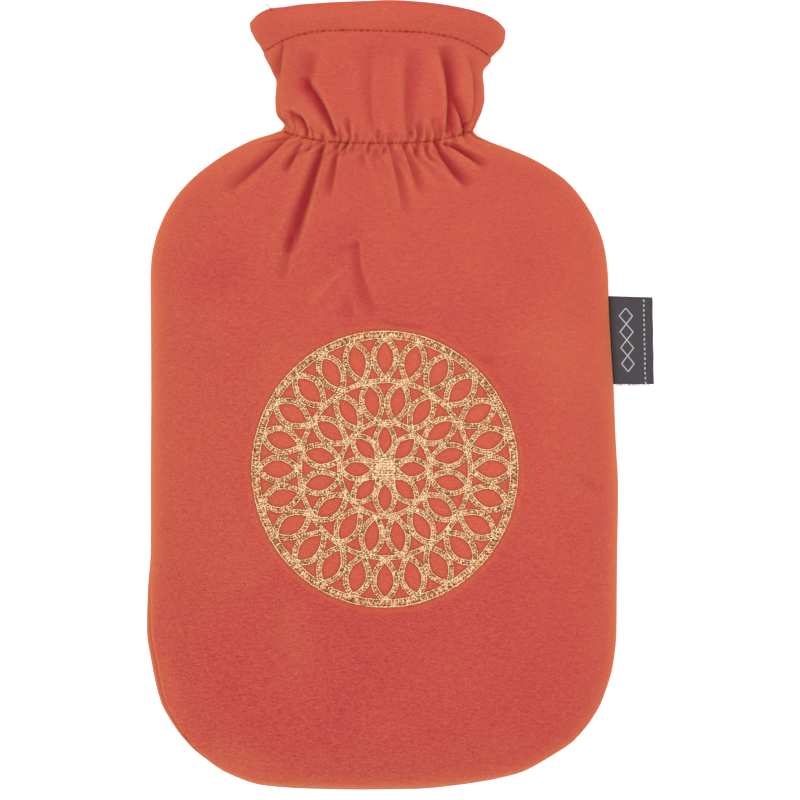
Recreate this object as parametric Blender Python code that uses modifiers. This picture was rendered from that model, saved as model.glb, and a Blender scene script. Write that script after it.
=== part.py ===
"""Hot water bottle cover: two panels of plush velour and a folded side label.

Metres, +Z up. The cover lies on its back, +X to the right and +Y towards the collar when it is
seen from above. The origin is on the flat underside, below the middle of the body.

Each panel is one sheet from the bottom seam to the rim of the collar: body, gathered neck and
flared collar, with the hem turned in at the rim. The two panels meet along the sides and the
bottom, and the cover is open only at its collar.
"""

from collections import namedtuple

import bpy
import numpy as np

# Cloth and seams
CLOTH = 0.0018            # plush velour, pile included
HEM_CLOTH = 0.0034        # turned in at the rim, so the cloth is double there
SEAM_GAP = 0.0003         # between the two panels, and between the label and its seam

# Side label: a narrow woven strip, folded once
LABEL_TOP_Y = 0.0445
LABEL_BOTTOM_Y = 0.0049
LABEL_FOLD_X = 0.1213
LABEL_SKEW = 0.0006       # the fold leans out by this much towards the bottom
LABEL_CLOTH = 0.0010
LABEL_SLIT = 0.0005       # between the two layers

# Grid of each panel and of the label
FRONT_COLUMNS = 54
BACK_COLUMNS = 38
LABEL_ROWS = 4
LABEL_LAYER_COLUMNS = 3
LABEL_TURN_COLUMNS = 6
SECTION_SAMPLES = 241     # points that measure a section before its columns are spread
FOLD_SAMPLES = 33         # points along a fold's line

# Folds fade out this near the side seams, where the two panels have to match
SEAM_CALM = 0.006

# The side seams, from the rim's corners down to the bottom corners
Side = namedtuple("Side", "y left right")
SIDES = [
    Side(0.1640, -0.0602, 0.0553),      # rim
    Side(0.1612, -0.0595, 0.0550),
    Side(0.1594, -0.0583, 0.0545),
    Side(0.1576, -0.0573, 0.0536),
    Side(0.1558, -0.0557, 0.0520),
    Side(0.1540, -0.0548, 0.0501),
    Side(0.1523, -0.0542, 0.0491),      # hem stitching
    Side(0.1505, -0.0531, 0.0484),
    Side(0.1485, -0.0518, 0.0466),
    Side(0.1465, -0.0507, 0.0452),
    Side(0.1440, -0.0496, 0.0449),
    Side(0.1418, -0.0484, 0.0451),
    Side(0.1400, -0.0480, 0.0454),
    Side(0.1328, -0.0485, 0.0457),
    Side(0.1283, -0.0483, 0.0447),
    Side(0.1260, -0.0477, 0.0438),
    Side(0.1215, -0.0444, 0.0415),
    Side(0.1192, -0.0460, 0.0411),      # elastic
    Side(0.1170, -0.0508, 0.0419),
    Side(0.1148, -0.0581, 0.0455),
    Side(0.1103, -0.0676, 0.0577),
    Side(0.1058, -0.0751, 0.0682),      # shoulder
    Side(0.0968, -0.0864, 0.0820),
    Side(0.0878, -0.0941, 0.0898),
    Side(0.0788, -0.0991, 0.0952),
    Side(0.0698, -0.1024, 0.0987),
    Side(0.0608, -0.1041, 0.1005),
    Side(0.0518, -0.1045, 0.1012),
    Side(0.0428, -0.1044, 0.1014),
    Side(0.0000, -0.1042, 0.1038),
    Side(-0.0200, -0.1043, 0.1046),
    Side(-0.0427, -0.1044, 0.1057),
    Side(-0.0700, -0.1042, 0.1053),
    Side(-0.0880, -0.1053, 0.1051),
    Side(-0.1057, -0.1057, 0.1050),
    Side(-0.1193, -0.1039, 0.1038),
    Side(-0.1373, -0.1000, 0.0986),
    Side(-0.1463, -0.0954, 0.0936),
    Side(-0.1553, -0.0891, 0.0860),     # bottom corners
    Side(-0.1610, -0.0832, 0.0787),
]

# The bottom seam, from corner to corner
Bottom = namedtuple("Bottom", "x y")
BOTTOM = [
    Bottom(-0.0950, -0.1475),
    Bottom(-0.0891, -0.1553),
    Bottom(-0.0819, -0.1623),
    Bottom(-0.0698, -0.1704),
    Bottom(-0.0536, -0.1758),
    Bottom(-0.0347, -0.1772),
    Bottom(-0.0104, -0.1777),
    Bottom(0.0140, -0.1774),
    Bottom(0.0324, -0.1758),
    Bottom(0.0599, -0.1707),
    Bottom(0.0752, -0.1630),
    Bottom(0.0860, -0.1553),
    Bottom(0.0925, -0.1475),
]

# How far the rim rises above its even curve, at places across from -1 to 1
Rim = namedtuple("Rim", "across rise")
RIM = [
    Rim(-1.00, 0.0006),
    Rim(-0.93, 0.0010),
    Rim(-0.85, 0.0009),
    Rim(-0.79, 0.0002),
    Rim(-0.72, -0.0004),
    Rim(-0.60, -0.0006),
    Rim(-0.50, -0.0009),
    Rim(-0.33, -0.0010),
    Rim(-0.18, -0.0009),
    Rim(-0.05, -0.0006),
    Rim(0.05, -0.0002),
    Rim(0.15, 0.0000),
    Rim(0.35, 0.0001),
    Rim(0.57, 0.0002),
    Rim(0.75, 0.0004),
    Rim(0.85, 0.0006),
    Rim(0.95, 0.0006),
    Rim(1.00, 0.0004),
]
RIM_Y = 0.1640            # where the rim's even curve meets the side seams
HEM_STITCH_Y = 0.1526     # where the hem's stitching meets them
CORNER_Y = -0.1553
CORNER_LEFT = -0.0891
CORNER_RIGHT = 0.0860

# Lines of the cloth across a panel: where each meets the side seams and where it crosses the
# middle, how much lower its right end is than its left one, the power and root of its curve
# (2 and 1 make a parabola, more power and less root a flat middle and steep ends), how far the
# cloth stands out there, and the rows of the two grids above it
Line = namedtuple("Line", "side middle drop power root swell front_rows back_rows")
LINES = [
    Line(RIM_Y, 0.1774, 0.0026, 2.2, 0.5, 0.0000, 0, 0),
    Line(0.1582, 0.1708, 0.0026, 3.2, 0.7, 0.0008, 2, 2),       # belly of the hem
    Line(HEM_STITCH_Y, 0.1635, 0.0024, 3.7, 1.0, -0.0009, 2, 2),
    Line(0.1484, 0.1578, 0.0016, 3.2, 1.0, 0.0002, 2, 1),
    Line(0.1330, 0.1330, 0.0000, 2.5, 1.0, 0.0000, 6, 4),       # middle of the collar
    Line(0.1230, 0.1180, 0.0000, 2.8, 1.0, 0.0003, 5, 3),
    Line(0.1192, 0.1131, 0.0004, 3.0, 1.0, -0.0012, 2, 2),      # elastic
    Line(0.1160, 0.1078, 0.0000, 2.8, 1.0, 0.0005, 2, 2),
    Line(0.1050, 0.0955, 0.0000, 2.4, 1.0, 0.0000, 5, 3),       # shoulder
    Line(0.0700, 0.0650, 0.0000, 2.0, 1.0, 0.0000, 7, 4),
    Line(0.0300, 0.0300, 0.0000, 2.0, 1.0, 0.0000, 5, 3),
    Line(-0.0950, -0.0950, 0.0000, 2.0, 1.0, 0.0000, 5, 4),
    Line(CORNER_Y, -0.1777, 0.0000, 2.0, 1.0, 0.0000, 6, 5),    # bottom seam
]
TOE_Y = -0.0950           # below this line the rows take the bottom seam's own curve
END_ROUND_Y = -0.0450     # the crown starts to fall towards the bottom seam here
END_ROUNDNESS = 2.6

# Sections, by the height of their row at the side seams: height of the seam, top of the front,
# low line of the back, flatness of each (2 with edge 0.5 is an ellipse), how blunt their edges are
# (less is blunter), and how much of the back's depth rests flat and how softly it leaves the flat
Section = namedtuple("Section", "y seam top low front_flatness back_flatness edge flat ease")
SECTIONS = [
    Section(0.1640, 0.0215, 0.0425, 0.0000, 2.0, 2.0, 0.50, 1.00, 1.0),
    Section(0.1545, 0.0213, 0.0415, 0.0012, 2.0, 2.0, 0.50, 1.00, 1.0),
    Section(0.1330, 0.0208, 0.0392, 0.0030, 2.1, 2.2, 0.50, 1.00, 1.0),
    Section(0.1195, 0.0203, 0.0380, 0.0035, 2.2, 2.4, 0.50, 1.00, 1.0),
    Section(0.1050, 0.0192, 0.0374, 0.0016, 2.3, 3.0, 0.48, 1.00, 1.1),
    Section(0.0700, 0.0170, 0.0372, 0.0000, 2.5, 4.5, 0.44, 0.96, 1.4),
    Section(0.0300, 0.0160, 0.0382, 0.0000, 2.7, 5.5, 0.42, 0.94, 1.5),
    Section(-0.0950, 0.0155, 0.0382, 0.0000, 2.7, 5.5, 0.42, 0.94, 1.5),
    Section(CORNER_Y, 0.0150, 0.0365, 0.0000, 2.7, 5.5, 0.42, 0.94, 1.5),
]

# Folds: the line of each trough from the gathers outwards, how far it bows sideways, its depth
# and its half width
Fold = namedtuple("Fold", "x0 y0 x1 y1 bow depth width")
FRONT_FOLDS = [
    # below the elastic, from left to right
    Fold(-0.0428, 0.1160, -0.0705, 0.0920, 0.0006, 0.0018, 0.0030),
    Fold(-0.0368, 0.1130, -0.0446, 0.1000, 0.0000, 0.0020, 0.0019),
    Fold(-0.0270, 0.1118, -0.0428, 0.0630, 0.0002, 0.0028, 0.0034),
    Fold(-0.0412, 0.0710, -0.0460, 0.0510, 0.0000, 0.0009, 0.0026),
    Fold(-0.0203, 0.1115, -0.0250, 0.0890, 0.0000, 0.0017, 0.0022),
    Fold(-0.0095, 0.1105, -0.0099, 0.1025, 0.0000, 0.0009, 0.0024),
    Fold(-0.0034, 0.1112, -0.0028, 0.1055, 0.0000, 0.0007, 0.0022),
    Fold(0.0033, 0.1118, 0.0104, 0.0815, 0.0004, 0.0014, 0.0022),
    Fold(0.0093, 0.1118, 0.0173, 0.0905, 0.0004, 0.0016, 0.0022),
    Fold(0.0185, 0.1125, 0.0222, 0.1048, 0.0000, 0.0010, 0.0024),
    Fold(0.0240, 0.1128, 0.0388, 0.0940, -0.0014, 0.0025, 0.0028),
    Fold(0.0284, 0.1126, 0.0458, 0.1030, 0.0006, 0.0024, 0.0024),
    Fold(-0.0118, 0.0672, -0.0030, 0.0360, -0.0026, 0.0012, 0.0060),
    # collar, from left to right, drawn from the elastic upwards
    Fold(-0.0344, 0.1177, -0.0439, 0.1262, -0.0028, 0.0022, 0.0024),
    Fold(-0.0222, 0.1178, -0.0372, 0.1425, -0.0015, 0.0026, 0.0030),
    Fold(-0.0338, 0.1385, -0.0322, 0.1550, 0.0000, 0.0010, 0.0048),
    Fold(-0.0155, 0.1180, -0.0158, 0.1245, 0.0000, 0.0009, 0.0022),
    Fold(-0.0050, 0.1180, -0.0062, 0.1560, 0.0012, 0.0007, 0.0030),
    Fold(0.0116, 0.1177, 0.0128, 0.1560, 0.0008, 0.0011, 0.0042),
    Fold(0.0160, 0.1170, 0.0152, 0.1228, 0.0000, 0.0009, 0.0022),
    Fold(0.0234, 0.1172, 0.0227, 0.1250, 0.0000, 0.0011, 0.0022),
    Fold(0.0289, 0.1190, 0.0263, 0.1570, -0.0026, 0.0028, 0.0034),
    Fold(0.0369, 0.1185, 0.0330, 0.1345, 0.0000, 0.0026, 0.0026),
    Fold(0.0392, 0.1225, 0.0376, 0.1540, -0.0030, 0.0010, 0.0018),
    # left end of the collar, down from the hem
    Fold(-0.0455, 0.1560, -0.0476, 0.1420, 0.0000, 0.0014, 0.0026),
]
BACK_FOLDS = [
    Fold(-0.0320, 0.1120, -0.0500, 0.0820, 0.0016, 0.0018, 0.0040),
    Fold(-0.0120, 0.1090, -0.0170, 0.0780, 0.0000, 0.0020, 0.0040),
    Fold(0.0080, 0.1090, 0.0110, 0.0860, 0.0000, 0.0014, 0.0036),
    Fold(0.0260, 0.1120, 0.0440, 0.0850, -0.0014, 0.0020, 0.0040),
    Fold(-0.0280, 0.1190, -0.0300, 0.1430, 0.0000, 0.0018, 0.0036),
    Fold(-0.0050, 0.1175, -0.0020, 0.1400, 0.0000, 0.0014, 0.0036),
    Fold(0.0210, 0.1180, 0.0250, 0.1480, 0.0000, 0.0020, 0.0036),
]
RIDGE_SHARE = 0.3         # the cloth beside a trough stands up by this share of its depth

# The seam at the lower left has rolled over towards the front, about a line inside the edge
ROLL_UPPER_Y = -0.045
ROLL_LOWER_Y = -0.172
ROLL_UPPER_EASE = 0.085
ROLL_LOWER_EASE = 0.016
ROLL_RADIUS = 0.012
ROLL_TURN = 0.48          # in radians, fading out away from the edge
ROLL_REACH = 2.0

VELOUR_ORANGE = (0.62, 0.10, 0.06, 1.0)
LABEL_GREY = (0.10, 0.09, 0.10, 1.0)


def read_table(rows, key, value, places):
    """Read a table's column at any places, along a smooth curve that never overshoots its rows."""
    rows = sorted(rows, key=lambda row: getattr(row, key))
    keys = np.array([getattr(row, key) for row in rows])
    values = np.array([getattr(row, value) for row in rows])
    steps = np.diff(keys)
    slopes = np.diff(values) / steps
    before, after = slopes[:-1], slopes[1:]
    turning = before * after <= 0
    total = np.where(turning, 1, before + after)
    inner = np.where(turning, 0, 2 * before * after / total)
    leave = np.concatenate([slopes[:1], inner, slopes[-1:]])
    places = np.clip(places, keys[0], keys[-1])
    index = np.clip(np.searchsorted(keys, places) - 1, 0, len(steps) - 1)
    step = steps[index]
    t = (places - keys[index]) / step
    return ((1 + 2 * t) * (1 - t) ** 2 * values[index]
            + t * (1 - t) ** 2 * step * leave[index]
            + t ** 2 * (3 - 2 * t) * values[index + 1]
            + t ** 2 * (t - 1) * step * leave[index + 1])


def smooth_step(part):
    """Ease a part from 0 to 1, level at both ends."""
    part = np.clip(part, 0, 1)
    return part * part * (3 - 2 * part)


def lay_out_rows(rows_column):
    """Spread a panel's rows between its lines, as lines of their own, from the rim down."""
    rows = []
    for upper, lower in zip(LINES, LINES[1:]):
        count = getattr(lower, rows_column)
        for step in range(count):
            part = step / count
            row = [a + (b - a) * part for a, b in zip(upper, lower)]
            swell = upper.swell + (lower.swell - upper.swell) * smooth_step(part)
            rows.append(Line(*row)._replace(swell=swell))
    return rows + [LINES[-1]]


def bottom_curve(across):
    """The curve of the bottom seam, from 0 at its corners to 1 at its middle."""
    place = CORNER_LEFT + (CORNER_RIGHT - CORNER_LEFT) * (across + 1) / 2
    dip = read_table(BOTTOM, "x", "y", place) - CORNER_Y
    middle = read_table(BOTTOM, "x", "y", (CORNER_LEFT + CORNER_RIGHT) / 2) - CORNER_Y
    return dip / middle


def section_at(height):
    """The section of the cover for a row that meets the side seams at this height."""
    return Section(height, *(read_table(SECTIONS, "y", field, height) for field in Section._fields[1:]))


def row_points(front, row, across):
    """Points of a row of a panel without its folds, at places from -1 to 1 across it."""
    height = row.side
    left, right = read_table(SIDES, "y", "left", height), read_table(SIDES, "y", "right", height)
    x = left + (right - left) * (across + 1) / 2
    if height < TOE_Y:
        curve = bottom_curve(across)
    else:
        curve = (1 - np.abs(across) ** row.power) ** row.root
    y = height + (row.middle - height) * curve - row.drop / 2 * across
    toward_rim = max(0.0, (height - HEM_STITCH_Y) / (RIM_Y - HEM_STITCH_Y))
    y += read_table(RIM, "across", "rise", across) * toward_rim

    section = section_at(height)
    toward_end = np.clip((END_ROUND_Y - height) / (END_ROUND_Y - CORNER_Y), 0, 1)
    flatness = section.front_flatness if front else section.back_flatness
    fill = ((1 - np.abs(across) ** flatness) * (1 - toward_end ** END_ROUNDNESS)) ** section.edge
    if front:
        z = section.seam + SEAM_GAP / 2 + (section.top - section.seam) * fill
    else:
        depth = section.seam - SEAM_GAP / 2 - section.low
        z = section.low + depth * (1 - np.minimum(fill / section.flat, 1)) ** section.ease
    return np.stack([x, y, z], axis=-1)


def spread_columns(front, row, columns):
    """Places across a row that lie an equal length of cloth apart, and the row's whole length."""
    trial = np.sin(np.linspace(-np.pi / 2, np.pi / 2, SECTION_SAMPLES))
    steps = np.linalg.norm(np.diff(row_points(front, row, trial), axis=0), axis=1)
    length = np.concatenate([[0], np.cumsum(steps)])
    return np.interp(np.linspace(0, length[-1], columns + 1), length, trial), length[-1]


def fold_offset(folds, x, y):
    """How far the folds move the cloth along its outward normal."""
    offset = np.zeros_like(x)
    along = np.linspace(0, 1, FOLD_SAMPLES)
    for fold in folds:
        run_x, run_y = fold.x1 - fold.x0, fold.y1 - fold.y0
        length = np.hypot(run_x, run_y)
        bulge = 4 * fold.bow * along * (1 - along)
        line_x = fold.x0 + run_x * along - run_y / length * bulge
        line_y = fold.y0 + run_y * along + run_x / length * bulge
        distances = np.hypot(x[..., None] - line_x, y[..., None] - line_y)
        nearest = np.argmin(distances, axis=-1)
        distance = np.min(distances, axis=-1)
        part = along[nearest]
        width = fold.width * (0.75 + 0.5 * part)
        depth = fold.depth * (1 - part) ** 0.7 * (0.75 + 1.3 * part)
        trough = np.exp(-(distance / width) ** 2)
        ridges = np.exp(-((distance - 2 * width) / width) ** 2)
        offset += depth * (RIDGE_SHARE * ridges - trough)
    return offset


def outward_normals(points, front):
    """Unit normals of a grid of points, away from the inside of the cover."""
    down_rows, over_columns = np.gradient(points, axis=0), np.gradient(points, axis=1)
    normals = np.cross(over_columns, -down_rows)
    if not front:
        normals = -normals
    return normals / np.linalg.norm(normals, axis=-1, keepdims=True)


def shape_panel(front, columns, rows, folds):
    """All the points of a panel's outer face, row by row from the rim to the bottom seam."""
    to_seam = np.minimum(np.arange(columns + 1), np.arange(columns, -1, -1)) / columns
    points, calm = [], []
    for row in rows:
        across, length = spread_columns(front, row, columns)
        points.append(row_points(front, row, across))
        calm.append(smooth_step(length * to_seam / SEAM_CALM))
    points, calm = np.array(points), np.array(calm)
    swell = np.array([row.swell for row in rows])[:, None]
    offset = (fold_offset(folds, points[..., 0], points[..., 1]) + swell) * calm
    points = points + offset[..., None] * outward_normals(points, front)
    if not front:
        points[..., 2] = np.maximum(points[..., 2], 0)
    return points


def add_grid(name, points):
    """A grid object with the given rows of points, as they are seen from above."""
    rows, columns = points.shape[0] - 1, points.shape[1] - 1
    bpy.ops.mesh.primitive_grid_add(x_subdivisions=columns, y_subdivisions=rows, size=2)
    grid = bpy.context.active_object
    grid.name = name
    grid.data.name = name
    flat = np.empty(len(grid.data.vertices) * 3)
    grid.data.vertices.foreach_get("co", flat)
    flat = flat.reshape(-1, 3)
    column = np.rint((flat[:, 0] + 1) / 2 * columns).astype(int)
    row = np.rint((1 - flat[:, 1]) / 2 * rows).astype(int)
    grid.data.vertices.foreach_set("co", points[row, column].ravel())
    grid.data.update()
    return grid, row, column


def paint(item, name, color, roughness):
    """Give an object its own Principled material."""
    material = bpy.data.materials.new(name)
    material.use_nodes = True
    shader = material.node_tree.nodes["Principled BSDF"]
    shader.inputs["Base Color"].default_value = color
    shader.inputs["Roughness"].default_value = roughness
    item.data.materials.append(material)


def place_in(collection, item):
    """Move an object to a collection of its own."""
    for holder in list(item.users_collection):
        holder.objects.unlink(item)
    collection.objects.link(item)


def thicken(item, thickness, thin_share=1.0):
    """Give an open sheet its thickness, inwards from its outer face, and apply it."""
    solidify = item.modifiers.new("cloth", "SOLIDIFY")
    solidify.thickness = thickness
    solidify.offset = -1
    if item.vertex_groups:
        solidify.vertex_group = item.vertex_groups[0].name
        solidify.thickness_vertex_group = thin_share
    bpy.context.view_layer.objects.active = item
    bpy.ops.object.modifier_apply(modifier=solidify.name)


def roll_seam(item):
    """Turn the cloth near the lower left edge about the edge's own centre, seam and all."""
    flat = np.empty(len(item.data.vertices) * 3)
    item.data.vertices.foreach_get("co", flat)
    x, y, z = flat.reshape(-1, 3).T
    along = (smooth_step((ROLL_UPPER_Y - y) / ROLL_UPPER_EASE)
             * smooth_step((y - ROLL_LOWER_Y) / ROLL_LOWER_EASE))
    centre_x = read_table(SIDES, "y", "left", y) + ROLL_RADIUS
    centre_z = read_table(SECTIONS, "y", "seam", y)
    out, up = centre_x - x, z - centre_z
    turn = ROLL_TURN * along * (1 - smooth_step(np.abs(np.arctan2(up, out)) / ROLL_REACH))
    rolled_x = centre_x - (out * np.cos(turn) - up * np.sin(turn))
    rolled_z = centre_z + (out * np.sin(turn) + up * np.cos(turn))
    rolled = np.stack([rolled_x, y, np.maximum(rolled_z, 0)], axis=-1)
    item.data.vertices.foreach_set("co", rolled.ravel())
    item.data.update()


def level_seam(item, on_seam):
    """Bring the inner edge of the cloth to its outer edge's height along the seam.

    Solidify lists the inner points after the outer ones, in the same order.
    """
    vertices = item.data.vertices
    for index in np.flatnonzero(on_seam):
        vertices[index + len(on_seam)].co.z = vertices[index].co.z
    item.data.update()


def make_panel(collection, name, front, columns, rows_column, folds):
    """One panel of the cover, from the bottom seam to the hem of the collar."""
    rows = lay_out_rows(rows_column)
    panel, row, column = add_grid(name, shape_panel(front, columns, rows, folds))
    if not front:
        panel.data.flip_normals()
    hem = panel.vertex_groups.new(name="hem")
    in_hem = np.array([line.side >= HEM_STITCH_Y for line in rows])
    hem.add([int(index) for index in np.flatnonzero(in_hem[row])], 1.0, "REPLACE")
    thicken(panel, HEM_CLOTH, CLOTH / HEM_CLOTH)
    on_seam = (column == 0) | (column == columns) | (row == len(rows) - 1)
    level_seam(panel, on_seam)
    roll_seam(panel)
    panel.data.shade_smooth()
    paint(panel, name + "_velour", VELOUR_ORANGE, 0.9)
    place_in(collection, panel)
    return panel


def label_section():
    """The folded strip seen from its end, as parts of its width and heights about the seam."""
    half = (LABEL_SLIT + LABEL_CLOTH * 2) / 2
    run = LABEL_FOLD_X - read_table(SIDES, "y", "right", LABEL_TOP_Y) - SEAM_GAP
    straight = 1 - half / run
    part = [straight * step / LABEL_LAYER_COLUMNS for step in range(LABEL_LAYER_COLUMNS)]
    turn = np.linspace(np.pi / 2, -np.pi / 2, LABEL_TURN_COLUMNS + 1)
    widths = part + list(straight + (1 - straight) * np.cos(turn)) + part[::-1]
    heights = [half] * len(part) + list(half * np.sin(turn)) + [-half] * len(part)
    return np.array(widths), np.array(heights)


def make_label(collection):
    """The side label: a strip folded once, its ends butting on the right side seam."""
    widths, heights = label_section()
    rows = []
    for y in np.linspace(LABEL_TOP_Y, LABEL_BOTTOM_Y, LABEL_ROWS + 1):
        down = (LABEL_TOP_Y - y) / (LABEL_TOP_Y - LABEL_BOTTOM_Y)
        start = read_table(SIDES, "y", "right", y) + SEAM_GAP
        end = LABEL_FOLD_X + LABEL_SKEW * down
        seam = section_at(y).seam
        x = start + (end - start) * widths
        rows.append(np.stack([x, np.full_like(x, y), seam + heights], axis=-1))
    label, _, _ = add_grid("side_label", np.array(rows))
    thicken(label, LABEL_CLOTH)
    paint(label, "side_label_weave", LABEL_GREY, 0.7)
    place_in(collection, label)
    return label


def clear_scene():
    """Remove every object that the scene starts with."""
    for item in list(bpy.data.objects):
        bpy.data.objects.remove(item, do_unlink=True)


def build():
    """Make the cover's panels and label in a collection of their own."""
    clear_scene()
    cover = bpy.data.collections.new("hot_water_bottle_cover")
    bpy.context.scene.collection.children.link(cover)
    make_panel(cover, "cover_front", True, FRONT_COLUMNS, "front_rows", FRONT_FOLDS)
    make_panel(cover, "cover_back", False, BACK_COLUMNS, "back_rows", BACK_FOLDS)
    make_label(cover)


build()
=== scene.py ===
"""Looks of the hot water bottle cover: plush velour panels, gold embroidery, sewing and side label.

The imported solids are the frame, in metres, +Z up, the cover lying on its back with its collar
towards +Y. Each soft solid gives its place to a finer piece on nearly all the same named sizes: the
two panels as cloth with their gathers, seams and pressed pile, and the side label as a folded woven
strip. Thread lies on the cloth: the gold roundel, the rows at the hem, elastic and seam, a loose end.
"""

import logging
import math
from dataclasses import dataclass, field
from enum import Enum
from typing import NamedTuple, Sequence

import bpy
import numpy as np
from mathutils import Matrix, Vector
from mathutils.bvhtree import BVHTree
from mathutils.kdtree import KDTree


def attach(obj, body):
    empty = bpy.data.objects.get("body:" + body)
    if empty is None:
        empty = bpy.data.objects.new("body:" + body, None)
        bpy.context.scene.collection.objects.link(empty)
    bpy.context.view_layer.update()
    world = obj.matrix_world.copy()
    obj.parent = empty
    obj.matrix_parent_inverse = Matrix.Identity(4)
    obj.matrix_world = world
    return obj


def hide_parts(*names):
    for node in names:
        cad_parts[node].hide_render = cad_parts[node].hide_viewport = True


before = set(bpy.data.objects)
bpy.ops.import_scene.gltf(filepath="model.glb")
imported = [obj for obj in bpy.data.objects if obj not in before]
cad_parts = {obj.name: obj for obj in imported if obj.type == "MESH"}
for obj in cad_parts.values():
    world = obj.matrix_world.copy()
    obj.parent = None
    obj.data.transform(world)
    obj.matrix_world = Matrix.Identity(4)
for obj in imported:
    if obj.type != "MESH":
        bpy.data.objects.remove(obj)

LOG = logging.getLogger("cover")
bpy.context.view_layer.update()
BODY = "root"

Socket = bpy.types.NodeSocket
Colour = tuple[float, float, float, float]


# Named sizes. The seams, the sections and the rim's rises are the solids' own. The rim line is lower
# than theirs, as the hem's rounded turn adds the rest. The two rows of sewing draw the cloth in less
# here, and a narrower dip adds to it. One fold of the front is narrower and shallower, and all of them
# are deepened by fold_gain, have a steep and a gentle side, and widen and fade by a rule of their own.

CLOTH = 0.0018            # plush velour, pile included
HEM_CLOTH = 0.0034        # turned in at the rim, so the cloth is double there
SEAM_GAP = 0.0003         # between the two panels
SEAM_TUCK = 0.0001        # the label goes this far into the dip of its seam
SEAM_CALM = 0.006         # folds fade out this near the side seams
EDGE_SHEEN = 0.016         # painted sheen: the pile's colour is lighter this near the seams and the rim
RIM_SHEEN_OFFSET = 0.006       # but less at the rim
NECK_EDGE_Y = (0.050, 0.105)      # and less towards the neck, and from left to right
ACROSS_EDGE_X = (-0.100, 0.100)
SECTION_SAMPLES = 241     # points that measure a section before its columns are spread
FOLD_SAMPLES = 33         # points along a fold's line
# A fold leans over on the side that faces the middle of the cover: steep there, gentle outside
STEEP_WIDTH = 0.48
GENTLE_WIDTH = 1.00
STEEP_RIDGE = 0.34        # shares of the trough's depth that the cloth beside it stands up by
GENTLE_RIDGE = 0.20

RIM_Y = 0.1628
HEM_STITCH_Y = 0.1526
ELASTIC_Y = 0.1192
CORNER_Y = -0.1553
CORNER_LEFT = -0.0891
CORNER_RIGHT = 0.0860
TOE_Y = -0.0950           # below this line the rows take the bottom seam's own curve
END_ROUND_Y = -0.0450     # the crown starts to fall towards the bottom seam here
END_ROUNDNESS = 2.6


class SideRow(NamedTuple):
    """Where the side seams are at one height."""

    y: float
    left: float
    right: float


SIDES = [SideRow(*row) for row in (
    (0.1640, -0.0602, 0.0553), (0.1612, -0.0595, 0.0550), (0.1594, -0.0583, 0.0545),
    (0.1576, -0.0573, 0.0536), (0.1558, -0.0557, 0.0520), (0.1540, -0.0548, 0.0501),
    (0.1523, -0.0542, 0.0491), (0.1505, -0.0531, 0.0484), (0.1485, -0.0518, 0.0466),
    (0.1465, -0.0507, 0.0452), (0.1440, -0.0496, 0.0449), (0.1418, -0.0484, 0.0451),
    (0.1400, -0.0480, 0.0454), (0.1328, -0.0485, 0.0457), (0.1283, -0.0483, 0.0447),
    (0.1260, -0.0477, 0.0438), (0.1215, -0.0444, 0.0415), (0.1192, -0.0460, 0.0411),
    (0.1170, -0.0508, 0.0419), (0.1148, -0.0581, 0.0455), (0.1103, -0.0676, 0.0577),
    (0.1058, -0.0751, 0.0682), (0.0968, -0.0864, 0.0820), (0.0878, -0.0941, 0.0898),
    (0.0788, -0.0991, 0.0952), (0.0698, -0.1024, 0.0987), (0.0608, -0.1041, 0.1005),
    (0.0518, -0.1045, 0.1012), (0.0428, -0.1044, 0.1014), (0.0000, -0.1042, 0.1038),
    (-0.0200, -0.1043, 0.1046), (-0.0427, -0.1044, 0.1057), (-0.0700, -0.1042, 0.1053),
    (-0.0880, -0.1053, 0.1051), (-0.1057, -0.1057, 0.1050), (-0.1193, -0.1039, 0.1038),
    (-0.1373, -0.1000, 0.0986), (-0.1463, -0.0954, 0.0936), (-0.1553, -0.0891, 0.0860),
    (-0.1610, -0.0832, 0.0787),
)]


class BottomPoint(NamedTuple):
    """A point of the bottom seam."""

    x: float
    y: float


BOTTOM = [BottomPoint(*row) for row in (
    (-0.0950, -0.1475), (-0.0891, -0.1553), (-0.0819, -0.1623), (-0.0698, -0.1704),
    (-0.0536, -0.1758), (-0.0347, -0.1772), (-0.0104, -0.1777), (0.0140, -0.1774),
    (0.0324, -0.1758), (0.0599, -0.1707), (0.0752, -0.1630), (0.0860, -0.1553),
    (0.0925, -0.1475),
)]


class RimPoint(NamedTuple):
    """How far the rim rises above its even curve, at a place across from -1 to 1."""

    across: float
    rise: float


RIM = [RimPoint(*row) for row in (
    (-1.00, 0.0006), (-0.93, 0.0010), (-0.85, 0.0009), (-0.79, 0.0002), (-0.72, -0.0004),
    (-0.60, -0.0006), (-0.50, -0.0009), (-0.33, -0.0010), (-0.18, -0.0009), (-0.05, -0.0006),
    (0.05, -0.0002), (0.15, 0.0000), (0.35, 0.0001), (0.57, 0.0002), (0.75, 0.0004),
    (0.85, 0.0006), (0.95, 0.0006), (1.00, 0.0004),
)]


class Line(NamedTuple):
    """A line of the cloth across a panel, from side seam to side seam.

    It meets the seams at one height and crosses the middle at another, its right end is lower than
    its left one by the drop, power and root shape its curve, and the cloth stands out there by the
    swell. The two pitches are how far apart the rows above it are.
    """

    side: float
    middle: float
    drop: float
    power: float
    root: float
    swell: float
    front_pitch: float
    back_pitch: float


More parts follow.
